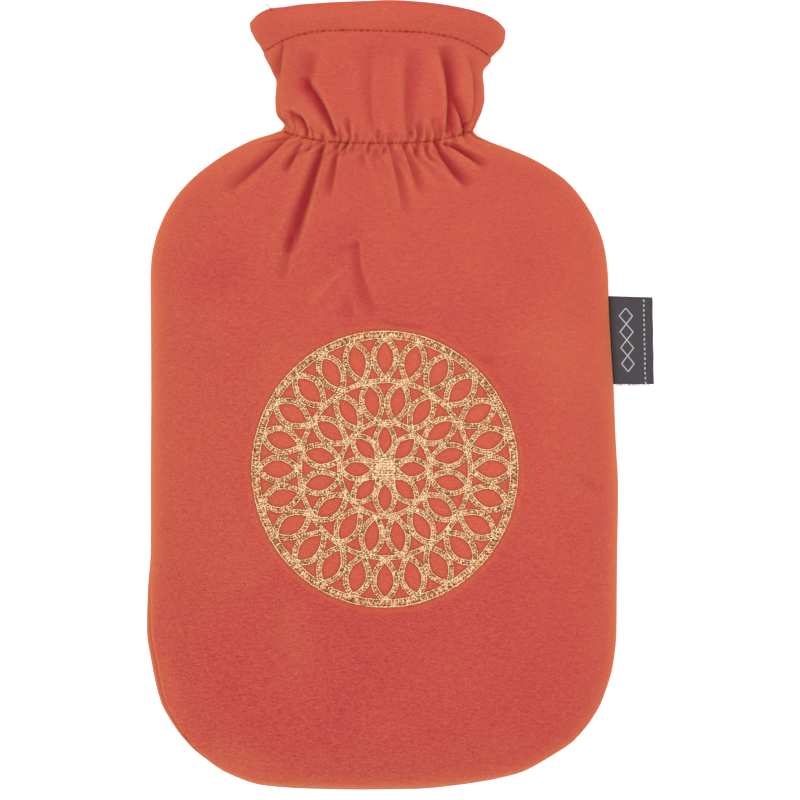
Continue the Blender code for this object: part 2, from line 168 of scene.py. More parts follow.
LINES = [Line(*row) for row in (
    (RIM_Y, 0.1757, 0.0026, 2.2, 0.5, 0.0000, 0.0010, 0.0010),
    (0.1582, 0.1708, 0.0026, 3.2, 0.7, 0.0008, 0.0009, 0.0016),
    (HEM_STITCH_Y, 0.1635, 0.0024, 3.7, 1.0, -0.0006, 0.0008, 0.0014),
    (0.1484, 0.1578, 0.0016, 3.2, 1.0, 0.0002, 0.0009, 0.0014),
    (0.1330, 0.1330, 0.0000, 2.5, 1.0, 0.0000, 0.0011, 0.0018),
    (0.1230, 0.1180, 0.0000, 2.8, 1.0, 0.0003, 0.0009, 0.0016),
    (ELASTIC_Y, 0.1131, 0.0004, 3.0, 1.0, -0.0006, 0.0006, 0.0009),
    (0.1160, 0.1078, 0.0000, 2.8, 1.0, 0.0005, 0.0006, 0.0009),
    (0.1050, 0.0955, 0.0000, 2.4, 1.0, 0.0000, 0.0010, 0.0016),
    (0.0700, 0.0650, 0.0000, 2.0, 1.0, 0.0000, 0.0013, 0.0020),
    (0.0300, 0.0300, 0.0000, 2.0, 1.0, 0.0000, 0.0013, 0.0024),
    (TOE_Y, TOE_Y, 0.0000, 2.0, 1.0, 0.0000, 0.00085, 0.0028),
    (CORNER_Y, -0.1777, 0.0000, 2.0, 1.0, 0.0000, 0.0016, 0.0022),
)]
BODY_LINE = LINES[-3]     # across the body, below its shoulders


class SectionRow(NamedTuple):
    """The cover's section for a row that meets the side seams at this height."""

    y: float
    seam: float
    top: float
    low: float
    front_flatness: float
    back_flatness: float
    edge: float
    flat: float
    ease: float


SECTIONS = [SectionRow(*row) for row in (
    (0.1640, 0.0215, 0.0425, 0.0000, 2.0, 2.0, 0.50, 1.00, 1.0),
    (0.1545, 0.0213, 0.0415, 0.0012, 2.0, 2.0, 0.50, 1.00, 1.0),
    (0.1330, 0.0208, 0.0392, 0.0030, 2.1, 2.2, 0.50, 1.00, 1.0),
    (0.1195, 0.0203, 0.0380, 0.0035, 2.2, 2.4, 0.50, 1.00, 1.0),
    (0.1050, 0.0192, 0.0374, 0.0016, 2.3, 3.0, 0.48, 1.00, 1.1),
    (0.0700, 0.0170, 0.0372, 0.0000, 2.5, 4.5, 0.44, 0.96, 1.4),
    (0.0300, 0.0160, 0.0382, 0.0000, 2.7, 5.5, 0.42, 0.94, 1.5),
    (-0.0950, 0.0155, 0.0382, 0.0000, 2.7, 5.5, 0.42, 0.94, 1.5),
    (CORNER_Y, 0.0150, 0.0365, 0.0000, 2.7, 5.5, 0.42, 0.94, 1.5),
)]


class Fold(NamedTuple):
    """The line of a trough from the gathers outwards, its sideways bow, depth and half width."""

    x0: float
    y0: float
    x1: float
    y1: float
    bow: float
    depth: float
    width: float


FRONT_FOLDS = [Fold(*row) for row in (
    # below the elastic, from left to right
    (-0.0428, 0.1160, -0.0705, 0.0920, 0.0006, 0.0018, 0.0030),
    (-0.0368, 0.1130, -0.0446, 0.1000, 0.0000, 0.0020, 0.0019),
    (-0.0270, 0.1118, -0.0428, 0.0630, 0.0002, 0.0028, 0.0034),
    (-0.0412, 0.0710, -0.0460, 0.0510, 0.0000, 0.0009, 0.0026),
    (-0.0203, 0.1115, -0.0250, 0.0890, 0.0000, 0.0017, 0.0022),
    (-0.0095, 0.1105, -0.0099, 0.1025, 0.0000, 0.0009, 0.0024),
    (-0.0034, 0.1112, -0.0028, 0.1055, 0.0000, 0.0007, 0.0022),
    (0.0033, 0.1118, 0.0104, 0.0815, 0.0004, 0.0014, 0.0022),
    (0.0093, 0.1118, 0.0173, 0.0905, 0.0004, 0.0016, 0.0022),
    (0.0185, 0.1125, 0.0222, 0.1048, 0.0000, 0.0010, 0.0024),
    (0.0240, 0.1128, 0.0388, 0.0940, -0.0014, 0.0025, 0.0028),
    (0.0284, 0.1126, 0.0458, 0.1030, 0.0006, 0.0024, 0.0024),
    (-0.0118, 0.0672, -0.0030, 0.0360, -0.0026, 0.0011, 0.0034),
    # collar, from left to right, drawn from the elastic upwards
    (-0.0344, 0.1177, -0.0439, 0.1262, -0.0028, 0.0022, 0.0024),
    (-0.0222, 0.1178, -0.0372, 0.1425, -0.0015, 0.0026, 0.0030),
    (-0.0338, 0.1385, -0.0322, 0.1550, 0.0000, 0.0010, 0.0048),
    (-0.0155, 0.1180, -0.0158, 0.1245, 0.0000, 0.0009, 0.0022),
    (-0.0050, 0.1180, -0.0062, 0.1560, 0.0012, 0.0007, 0.0030),
    (0.0116, 0.1177, 0.0128, 0.1560, 0.0008, 0.0011, 0.0042),
    (0.0160, 0.1170, 0.0152, 0.1228, 0.0000, 0.0009, 0.0022),
    (0.0234, 0.1172, 0.0227, 0.1250, 0.0000, 0.0011, 0.0022),
    (0.0289, 0.1190, 0.0263, 0.1570, -0.0026, 0.0028, 0.0034),
    (0.0369, 0.1185, 0.0330, 0.1345, 0.0000, 0.0026, 0.0026),
    (0.0392, 0.1225, 0.0376, 0.1540, -0.0030, 0.0010, 0.0018),
    # left end of the collar, down from the hem
    (-0.0455, 0.1560, -0.0476, 0.1420, 0.0000, 0.0014, 0.0026),
)]
# Small ones that only the finer cloth of this scene can hold
FRONT_CREASES = [Fold(*row) for row in (
    # short pleats below the elastic, from left to right
    (-0.0320, 0.1140, -0.0338, 0.1086, 0.0000, 0.0010, 0.0013),
    (-0.0163, 0.1122, -0.0180, 0.1070, 0.0000, 0.0010, 0.0013),
    (-0.0133, 0.1120, -0.0139, 0.1086, 0.0000, 0.0008, 0.0011),
    (-0.0063, 0.1118, -0.0064, 0.1080, 0.0000, 0.0009, 0.0011),
    (0.0003, 0.1118, 0.0004, 0.1084, 0.0000, 0.0008, 0.0010),
    (0.0133, 0.1122, 0.0154, 0.1068, 0.0000, 0.0010, 0.0013),
    (0.0263, 0.1130, 0.0298, 0.1094, 0.0000, 0.0009, 0.0012),
    (0.0330, 0.1146, 0.0378, 0.1114, 0.0000, 0.0010, 0.0012),
    # short pleats above it, from left to right
    (-0.0315, 0.1160, -0.0325, 0.1206, 0.0000, 0.0010, 0.0012),
    (-0.0272, 0.1152, -0.0284, 0.1182, 0.0000, 0.0008, 0.0011),
    (-0.0190, 0.1146, -0.0202, 0.1192, 0.0000, 0.0009, 0.0012),
    (-0.0120, 0.1144, -0.0122, 0.1180, 0.0000, 0.0008, 0.0011),
    (-0.0022, 0.1142, -0.0018, 0.1196, 0.0000, 0.0010, 0.0012),
    (0.0022, 0.1142, 0.0024, 0.1176, 0.0000, 0.0007, 0.0010),
    (0.0062, 0.1144, 0.0058, 0.1192, 0.0000, 0.0009, 0.0012),
    (0.0130, 0.1146, 0.0126, 0.1184, 0.0000, 0.0009, 0.0011),
    (0.0198, 0.1152, 0.0194, 0.1206, 0.0000, 0.0010, 0.0012),
    (0.0262, 0.1158, 0.0258, 0.1216, 0.0000, 0.0011, 0.0013),
    (0.0316, 0.1168, 0.0311, 0.1226, 0.0000, 0.0011, 0.0013),
    (0.0350, 0.1176, 0.0344, 0.1236, 0.0000, 0.0012, 0.0014),
    (0.0376, 0.1184, 0.0378, 0.1222, 0.0000, 0.0012, 0.0012),
    # faint ones above the roundel, in its upper edge and at the right
    (0.0000, 0.0332, 0.0190, 0.0304, -0.0012, 0.0009, 0.0016),
    (-0.0120, 0.0670, -0.0205, 0.0655, 0.0006, 0.0006, 0.0020),
    (-0.0165, 0.0432, -0.0142, 0.0345, 0.0000, 0.0006, 0.0036),
    (-0.0190, 0.0550, -0.0335, 0.0400, 0.0000, -0.0008, 0.0036),
    (0.0428, 0.0158, 0.0500, 0.0144, 0.0000, 0.0005, 0.0024),
    (0.0873, -0.0360, 0.0985, -0.0450, 0.0000, 0.0004, 0.0030),
)]
BACK_FOLDS = [Fold(*row) for row in (
    (-0.0320, 0.1120, -0.0500, 0.0820, 0.0016, 0.0018, 0.0040),
    (-0.0120, 0.1090, -0.0170, 0.0780, 0.0000, 0.0020, 0.0040),
    (0.0080, 0.1090, 0.0110, 0.0860, 0.0000, 0.0014, 0.0036),
    (0.0260, 0.1120, 0.0440, 0.0850, -0.0014, 0.0020, 0.0040),
    (-0.0280, 0.1190, -0.0300, 0.1430, 0.0000, 0.0018, 0.0036),
    (-0.0050, 0.1175, -0.0020, 0.1400, 0.0000, 0.0014, 0.0036),
    (0.0210, 0.1180, 0.0250, 0.1480, 0.0000, 0.0020, 0.0036),
)]


class NapAndShadePatch(NamedTuple):
    """A soft patch of the pile's colour, lighter for a tone above 0: partly the nap's own unevenness, partly
    painted shade and light of bulges and folds.

    It is an oval about a point, turned by an angle in radians, with two half sizes.
    """

    x: float
    y: float
    turn: float
    half_length: float
    half_width: float
    tone: float


NAP_AND_SHADE_PATCHES = [NapAndShadePatch(*row) for row in (
    # body, from the shoulders down
    (0.010, 0.095, 0.0, 0.014, 0.013, 0.13),
    (-0.018, 0.070, 0.0, 0.010, 0.012, -0.15),
    (-0.071, 0.054, 0.4, 0.016, 0.012, -0.14),
    (-0.0275, 0.037, 1.0, 0.014, 0.004, 0.10),
    (0.064, 0.025, 0.0, 0.016, 0.014, 0.14),
    (-0.046, 0.015, 0.94, 0.022, 0.010, 0.15),
    (0.080, 0.007, 1.57, 0.058, 0.014, 0.07),
    (-0.089, -0.038, 1.57, 0.028, 0.018, 0.06),
    (-0.038, -0.108, 1.57, 0.022, 0.009, 0.12),
    (-0.062, -0.165, -0.35, 0.017, 0.007, 0.18),
    # collar
    (-0.0374, 0.1395, 0.0, 0.0065, 0.009, -0.18),
    (-0.0036, 0.156, 0.0, 0.014, 0.006, -0.15),
    (0.0155, 0.139, 1.57, 0.014, 0.004, -0.10),
)]


# ---- Small helpers ----

def smooth_step(part: float | np.ndarray) -> np.ndarray:
    """Ease a part from 0 to 1, level at both ends."""
    part = np.clip(part, 0, 1)
    return part * part * (3 - 2 * part)


def bell(distance: np.ndarray, width: float | np.ndarray) -> np.ndarray:
    """1 at no distance, fading smoothly over the width."""
    return np.exp(-(distance / width) ** 2)


def unit(vectors: np.ndarray) -> np.ndarray:
    """Vectors of length 1 along the last axis."""
    return vectors / np.maximum(np.linalg.norm(vectors, axis=-1, keepdims=True), 1e-12)


class Bump(NamedTuple):
    """A smooth bump beside a line: its height, in metres or as a share, and its half width."""

    height: float
    width: float

    def at(self, distance: np.ndarray) -> np.ndarray:
        """The bump's height at a distance from its middle."""
        return self.height * bell(distance, self.width)


def run_lengths(points: np.ndarray) -> np.ndarray:
    """Length of a polyline up to each of its points."""
    return np.concatenate([[0], np.cumsum(np.linalg.norm(np.diff(points, axis=0), axis=1))])


def at_lengths(where: np.ndarray, lengths: np.ndarray, points: np.ndarray) -> np.ndarray:
    """Values along a polyline, in any number of columns, at some lengths of it."""
    return np.stack([np.interp(where, lengths, column) for column in points.T], axis=-1)


def grid_faces(rows: int, columns: int, start: int = 0, flipped: bool = False) -> list[list[int]]:
    """List the quads of a grid of vertices.

    Args:
        rows: how many rows of vertices.
        columns: how many vertices a row.
        start: number of the first vertex.
        flipped: True to have them seen from the other side.

    Returns:
        The faces, row by row.
    """
    corners = ((1, 0), (0, 0), (0, 1), (1, 1)) if flipped else ((0, 0), (1, 0), (1, 1), (0, 1))
    return [[start + (row + down) * columns + column + right for down, right in corners]
            for row in range(rows - 1) for column in range(columns - 1)]


def deselect_all() -> None:
    """Leave nothing selected, so that an operator acts on new work alone."""
    for item in bpy.context.selected_objects:
        item.select_set(False)


def make_mesh_object(name: str, points: np.ndarray, faces: Sequence[Sequence[int]]) -> bpy.types.Object:
    """Make a smooth-shaded mesh object at the origin.

    Args:
        name: name of the object and its mesh.
        points: places of its vertices, in metres.
        faces: indices of each face's vertices, anticlockwise from outside.

    Returns:
        The new object, linked to the scene.
    """
    mesh = bpy.data.meshes.new(name)
    mesh.from_pydata(points.reshape(-1, 3).tolist(), [], faces)
    mesh.update()
    mesh.shade_smooth()
    item = bpy.data.objects.new(name, mesh)
    bpy.context.scene.collection.objects.link(item)
    return item


def paint_points(item: bpy.types.Object, name: str, values: np.ndarray) -> None:
    """Keep a value for each vertex under a name, for a material to read."""
    attribute = item.data.attributes.new(name, "FLOAT", "POINT")
    attribute.data.foreach_set("value", np.asarray(values, np.float32).ravel())


@dataclass(frozen=True)
class Curve:
    """A smooth curve through a table's rows that never overshoots them."""

    keys: np.ndarray
    values: np.ndarray
    leave: np.ndarray

    @classmethod
    def of(cls, rows: Sequence[NamedTuple], key: str, value: str) -> "Curve":
        """Read two columns of a table.

        Args:
            rows: the table.
            key: the column that the curve runs along.
            value: the column that it gives.

        Returns:
            The curve.
        """
        rows = sorted(rows, key=lambda row: getattr(row, key))
        keys = np.array([getattr(row, key) for row in rows])
        values = np.array([getattr(row, value) for row in rows])
        slopes = np.diff(values) / np.diff(keys)
        before, after = slopes[:-1], slopes[1:]
        turning = before * after <= 0
        total = np.where(turning, 1, before + after)
        inner = np.where(turning, 0, 2 * before * after / total)
        return cls(keys, values, np.concatenate([slopes[:1], inner, slopes[-1:]]))

    def at(self, places: float | np.ndarray) -> np.ndarray:
        """The curve's value at any places, held level past its ends."""
        places = np.clip(places, self.keys[0], self.keys[-1])
        steps = np.diff(self.keys)
        index = np.clip(np.searchsorted(self.keys, places) - 1, 0, len(steps) - 1)
        step = steps[index]
        t = (places - self.keys[index]) / step
        return ((1 + 2 * t) * (1 - t) ** 2 * self.values[index]
                + t * (1 - t) ** 2 * step * self.leave[index]
                + t ** 2 * (3 - 2 * t) * self.values[index + 1]
                + t ** 2 * (t - 1) * step * self.leave[index + 1])


# ---- Form that the two panels share ----

class Face(Enum):
    """Which way a panel of the cover faces."""

    FRONT = "front"
    BACK = "back"


class CoverForm:
    """The cover's form, from the tables of its seams, lines and sections."""

    def __init__(self) -> None:
        """Read the tables once."""
        self.left = Curve.of(SIDES, "y", "left")
        self.right = Curve.of(SIDES, "y", "right")
        self.bottom = Curve.of(BOTTOM, "x", "y")
        self.rim = Curve.of(RIM, "across", "rise")
        self.section = {name: Curve.of(SECTIONS, "y", name) for name in SectionRow._fields[1:]}
        middle = self.bottom.at((CORNER_LEFT + CORNER_RIGHT) / 2)
        self.bottom_dip = middle - CORNER_Y

    def section_at(self, height: float) -> SectionRow:
        """The section for a row that meets the side seams at this height."""
        return SectionRow(height, *(curve.at(height) for curve in self.section.values()))

    def bottom_curve(self, across: np.ndarray) -> np.ndarray:
        """The curve of the bottom seam, from 0 at its corners to 1 at its middle."""
        place = CORNER_LEFT + (CORNER_RIGHT - CORNER_LEFT) * (across + 1) / 2
        return (self.bottom.at(place) - CORNER_Y) / self.bottom_dip

    def row_points(self, face: Face, row: Line, across: np.ndarray) -> np.ndarray:
        """Points of a row of a panel without its folds.

        Args:
            face: which panel.
            row: the row's line.
            across: places from -1 at the left seam to 1 at the right one.

        Returns:
            A point for each place.
        """
        height = row.side
        left, right = self.left.at(height), self.right.at(height)
        x = left + (right - left) * (across + 1) / 2
        if height < TOE_Y:
            curve = self.bottom_curve(across)
        else:
            curve = (1 - np.abs(across) ** row.power) ** row.root
        y = height + (row.middle - height) * curve - row.drop / 2 * across
        toward_rim = max(0.0, (height - HEM_STITCH_Y) / (RIM_Y - HEM_STITCH_Y))
        y += self.rim.at(across) * toward_rim
        section = self.section_at(height)
        toward_end = np.clip((END_ROUND_Y - height) / (END_ROUND_Y - CORNER_Y), 0, 1)
        flatness = section.front_flatness if face is Face.FRONT else section.back_flatness
        fill = ((1 - np.abs(across) ** flatness) * (1 - toward_end ** END_ROUNDNESS)) ** section.edge
        if face is Face.FRONT:
            z = section.seam + SEAM_GAP / 2 + (section.top - section.seam) * fill
        else:
            depth = section.seam - SEAM_GAP / 2 - section.low
            z = section.low + depth * (1 - np.minimum(fill / section.flat, 1)) ** section.ease
        return np.stack([x, y, z], axis=-1)

    def spread(self, face: Face, row: Line, shares: np.ndarray) -> tuple[np.ndarray, float]:
        """Find the places across a row at given shares of its length.

        Args:
            face: which panel.
            row: the row's line.
            shares: from 0 at the left seam to 1 at the right one, along the cloth.

        Returns:
            The places from -1 to 1, and the row's whole length.
        """
        trial = np.sin(np.linspace(-np.pi / 2, np.pi / 2, SECTION_SAMPLES))
        length = run_lengths(self.row_points(face, row, trial))
        return np.interp(shares * length[-1], length, trial), float(length[-1])


@dataclass(frozen=True)
class SeamRoll:
    """How the seam at the lower left has rolled over towards the front."""

    upper_y: float = -0.045
    lower_y: float = -0.172
    upper_ease: float = 0.085
    lower_ease: float = 0.016
    radius: float = 0.012
    turn: float = 0.48
    reach: float = 2.0

    def roll(self, points: np.ndarray, form: CoverForm) -> np.ndarray:
        """Turn the cloth near the left edge about the edge's own centre, seam and all.

        Args:
            points: points of either panel.
            form: the cover's form.

        Returns:
            The points in their rolled places.
        """
        x, y, z = points[..., 0], points[..., 1], points[..., 2]
        below_top = smooth_step((self.upper_y - y) / self.upper_ease)
        along = below_top * smooth_step((y - self.lower_y) / self.lower_ease)
        centre_x = form.left.at(y) + self.radius
        centre_z = form.section["seam"].at(y)
        out, up = centre_x - x, z - centre_z
        angle = np.arctan2(up, out)
        turn = self.turn * along * (1 - smooth_step(np.abs(angle) / self.reach))
        rolled = points.copy()
        rolled[..., 0] = centre_x - (out * np.cos(turn) - up * np.sin(turn))
        rolled[..., 2] = centre_z + (out * np.sin(turn) + up * np.cos(turn))
        return rolled


# ---- Embroidered roundel ----

class Stroke(NamedTuple):
    """A line of embroidery: its points in metres, the width of its cover of thread, and its lay."""

    points: np.ndarray
    width: float
    along: bool


@dataclass(frozen=True)
class LeafRing:
    """A ring of leaves, drawn by their outlines."""

    count: int
    inner: float
    outer: float
    half_width: float
    line: float
    turn: float


LEAF_RINGS = [LeafRing(*row) for row in (
    (8, 0.0050, 0.0205, 0.0045, 0.0024, 0.0),
    (16, 0.0215, 0.0393, 0.0048, 0.0025, 0.5),
    (24, 0.0403, 0.0588, 0.0053, 0.0026, 0.0),
)]


@dataclass
class RoundelPattern:
    """A plain rosette of leaves in rings, the size of the real roundel."""

    centre_x: float = 0.0009
    centre_y: float = -0.0333
    half_width: float = 0.0601
    half_height: float = 0.0624
    heart: float = 0.0048
    ring_lines: tuple[float, ...] = (0.0211, 0.0398)
    ring_line: float = 0.0023
    border: float = 0.0037
    border_inset: float = 0.0002
    outline: float = 0.0006
    outline_inset: float = 0.0003
    heart_pitch: float = 0.0012
    heart_line: float = 0.0018
    leaf_lean: float = 1.15        # above 1, a leaf is widest past its middle
    leaf_fullness: float = 0.75    # below 1, its sides are fuller than a sine
    ring_points: int = 361
    leaf_points: int = 25
    feel_step: float = 0.0005      # the lines are felt for at points this far apart
    feel_share: float = 1.08       # and no further out than this
    strokes: list[Stroke] = field(default_factory=list)

    def __post_init__(self) -> None:
        """Draw every stroke once."""
        edge = self.half_height
        self.strokes.append(self.ring(edge - self.outline_inset, self.outline, True))
        self.strokes.append(self.ring(edge - self.border_inset - self.border / 2, self.border, False))
        self.strokes += [self.ring(radius, self.ring_line, False) for radius in self.ring_lines]
        for leaves in LEAF_RINGS:
            for index in range(leaves.count):
                self.strokes += self.leaf(leaves, index)
        for row in np.arange(-self.heart, self.heart, self.heart_pitch) + self.heart_pitch / 2:
            half = math.sqrt(max(self.heart ** 2 - row ** 2, 1e-8))
            ends = self.place(np.array([[-half, row], [half, row]]))
            self.strokes.append(Stroke(ends, self.heart_line, False))

    def place(self, flat: np.ndarray) -> np.ndarray:
        """Put points drawn about the middle of a true circle on the cover."""
        squeeze = self.half_width / self.half_height
        return np.stack([self.centre_x + flat[:, 0] * squeeze, self.centre_y + flat[:, 1]], axis=-1)

    def ring(self, radius: float, width: float, along: bool) -> Stroke:
        """A closed ring about the middle, with its stitches along its line or across it."""
        angle = np.linspace(0, 2 * np.pi, self.ring_points)
        return Stroke(self.place(radius * np.stack([np.sin(angle), np.cos(angle)], axis=-1)), width, along)

    def leaf(self, leaves: LeafRing, index: int) -> list[Stroke]:
        """One leaf's two sides.

        Args:
            leaves: the ring it belongs to.
            index: its number in the ring.

        Returns:
            The strokes.
        """
        middle = 2 * np.pi * (index + leaves.turn) / leaves.count
        part = np.linspace(0, 1, self.leaf_points)
        radius = leaves.inner + (leaves.outer - leaves.inner) * part
        half = leaves.half_width * np.sin(np.pi * part ** self.leaf_lean) ** self.leaf_fullness
        strokes = []
        for side in (-1, 1):
            angle = middle + side * half / radius
            flat = radius[:, None] * np.stack([np.sin(angle), np.cos(angle)], axis=-1)
            strokes.append(Stroke(self.place(flat), leaves.line, False))
        return strokes

    def radius_share(self, x: np.ndarray, y: np.ndarray) -> np.ndarray:
        """How far out from the middle points are, 1 on the roundel's edge."""
        return np.hypot((x - self.centre_x) / self.half_width, (y - self.centre_y) / self.half_height)

    def gap_to_thread(self, x: np.ndarray, y: np.ndarray) -> np.ndarray:
        """How far points are from the nearest edge of the embroidery, in metres, below 0 under it.

        Args:
            x: places across.
            y: places along.

        Returns:
            The distances, for points well outside the roundel a large one.
        """
        samples, halves = [], []
        for stroke in self.strokes:
            points = walk(stroke.points, self.feel_step)[0]
            samples.append(points)
            halves.append(np.full(len(points), stroke.width / 2))
        samples, halves = np.concatenate(samples), np.concatenate(halves)
        tree = KDTree(len(samples))
        for index, (px, py) in enumerate(samples):
            tree.insert((px, py, 0), index)
        tree.balance()
        gap = np.full(x.shape, 1.0)
        near = self.radius_share(x, y) < self.feel_share
        found = []
        for px, py in zip(x[near], y[near]):
            nearest = tree.find_n((px, py, 0), 3)
            found.append(min(distance - halves[index] for _, index, distance in nearest))
        gap[near] = found
        return gap


def walk(points: np.ndarray, spacing: float) -> tuple[np.ndarray, np.ndarray]:
    """Step along a polyline.

    Args:
        points: its corners, in any number of dimensions.
        spacing: about how far apart the steps are.

    Returns:
        The places of the steps, half a step in from both ends, and the direction at each.
    """
    runs = np.diff(points, axis=0)
    length = run_lengths(points)
    count = max(1, round(length[-1] / spacing))
    at = (np.arange(count) + 0.5) / count * length[-1]
    index = np.clip(np.searchsorted(length, at) - 1, 0, len(runs) - 1)
    return at_lengths(at, length, points), unit(runs[index])


# ---- Panels ----

@dataclass
class GatherSet:
    """Small pleats that the elastic draws up, none of them alike."""

    seed: int
    count: int
    depth: tuple[float, float] = (0.00025, 0.00085)
    half_width: tuple[float, float] = (0.0007, 0.0013)
    reach_up: tuple[float, float] = (0.0035, 0.0100)
    reach_down: tuple[float, float] = (0.0055, 0.0170)
    stray: float = 0.32            # a pleat may stand this share of their spacing off its even place
    lean: float = 0.15
    fan: float = 0.25              # it has widened by this share at the end of its reach
    spread: float = 0.6            # how far the pleats part where the rows are longer
    ridge: float = 0.5             # the cloth beside it stands up by this share of its depth

    def offset(self, shares: np.ndarray, lengths: np.ndarray, from_elastic: np.ndarray,
               elastic_length: float) -> np.ndarray:
        """How far the pleats move the cloth outwards.

        Args:
            shares: share of the row's length at each column.
            lengths: length of each row.
            from_elastic: distance of each point from the elastic along the cloth, above it over 0.
            elastic_length: length of the elastic's own row.

        Returns:
            The offset at each point.
        """
        chance = np.random.default_rng(self.seed)
        offset = np.zeros_like(from_elastic)
        strays = chance.uniform(-self.stray, self.stray, self.count)
        centres = (np.arange(self.count) + 0.5 + strays) / self.count
        for centre in centres:
            depth = chance.uniform(*self.depth)
            width = chance.uniform(*self.half_width)
            up, down = chance.uniform(*self.reach_up), chance.uniform(*self.reach_down)
            lean = chance.uniform(-self.lean, self.lean)
            reach = np.where(from_elastic > 0, up, down)
            fan = 1 + self.fan * np.abs(from_elastic) / reach
            parted = 1 - self.spread + self.spread * lengths[:, None] / elastic_length
            away = (shares[None, :] - centre) * elastic_length * parted
            away = (away - lean * from_elastic) / fan
            ridge = self.ridge * bell(np.abs(away) - 2 * width, width)
            offset += depth * bell(from_elastic, reach) * (ridge - bell(away, width))
        return offset


# Rows of sewing and seams draw the cloth in, and it swells beside the seams
ELASTIC_DIP = Bump(0.0007, 0.0009)
HEM_DIP = Bump(0.0005, 0.0008)
SIDE_DIP = Bump(0.0007, 0.0009)
BOTTOM_DIP = Bump(0.0002, 0.0010)
SEAM_SWELL = Bump(0.0003, 0.0016)
SEAM_SWELL_AT = 0.0030
BEAD_SHARE = 0.35         # the elastic's dip varies by this share, once a stitch's pitch
BEAD_CALM = 0.002         # and fades out this near the side seams
# How they and the folds are painted into the pile's colour, as shares: painted shade in the dips and troughs,
# painted highlight beside the elastic and on the ridges
ELASTIC_SHADE = Bump(0.20, 0.0005)
HEM_SHADE = Bump(0.45, 0.0005)
PUCKER = Bump(0.45, 0.0011)
PUCKER_AT = 0.0020
DEEP_FOLD, DEEP_PLEAT = 0.0020, 0.0012      # the painted shade is darkest this far down
HIGH_FOLD, HIGH_PLEAT = 0.0009, 0.0004      # and the painted highlight is lightest this far up
NECK_EDGE = (1.0, 0.45)                     # strength of the edges' painted sheen over NECK_EDGE_Y
ACROSS_EDGE = (1.12, 0.82)                  # and over ACROSS_EDGE_X
# How the embroidery pulls the cloth in and flattens its pile, and the painted shadow beside its thread
ROUNDEL_SINK = 0.00035
THREAD_DIP = Bump(0.0006, 0.0009)
THREAD_SHADE = Bump(1.0, 0.0008)
ROUNDEL_SWELL = Bump(0.0004, 0.003)
ROUNDEL_SWELL_AT = 0.004
SUNK_EDGE, SUNK_EASE = 1.02, 0.03           # shares of the roundel's radius
PRESSED_EDGE, PRESSED_EASE = 1.05, 0.04
# A fold's width and depth along it, from its root
FOLD_WIDTH, FOLD_WIDENS = 0.55, 0.75
FOLD_DEPTH, FOLD_DEEPENS, FOLD_FADE = 0.75, 1.2, 0.6
FOLD_REACH = 5                              # it is felt this many widths past its ends
# Slow waves of loose cloth: how long, how high for their length, and how they bend
EASE_WAVES = (0.019, 0.027, 0.034, 0.047, 0.062)
EASE_HEIGHT, EASE_BEND, EASE_BEND_TURNS = 0.0022, 0.2, 2.1
EASE_CALM = 0.02          # they fade out this near the seams and the elastic
EASE_SEEDS = {Face.FRONT: 41, Face.BACK: 43}
THIN_CLOTH = 0.6          # the back's inner face stays this share of the cloth above the floor
# Columns of a panel
SEAM_BAND = 0.003         # they are closest this near the seams
COLUMN_SAMPLES = 4001
COLUMN_BLUR = 60          # samples each way over which their spacing changes


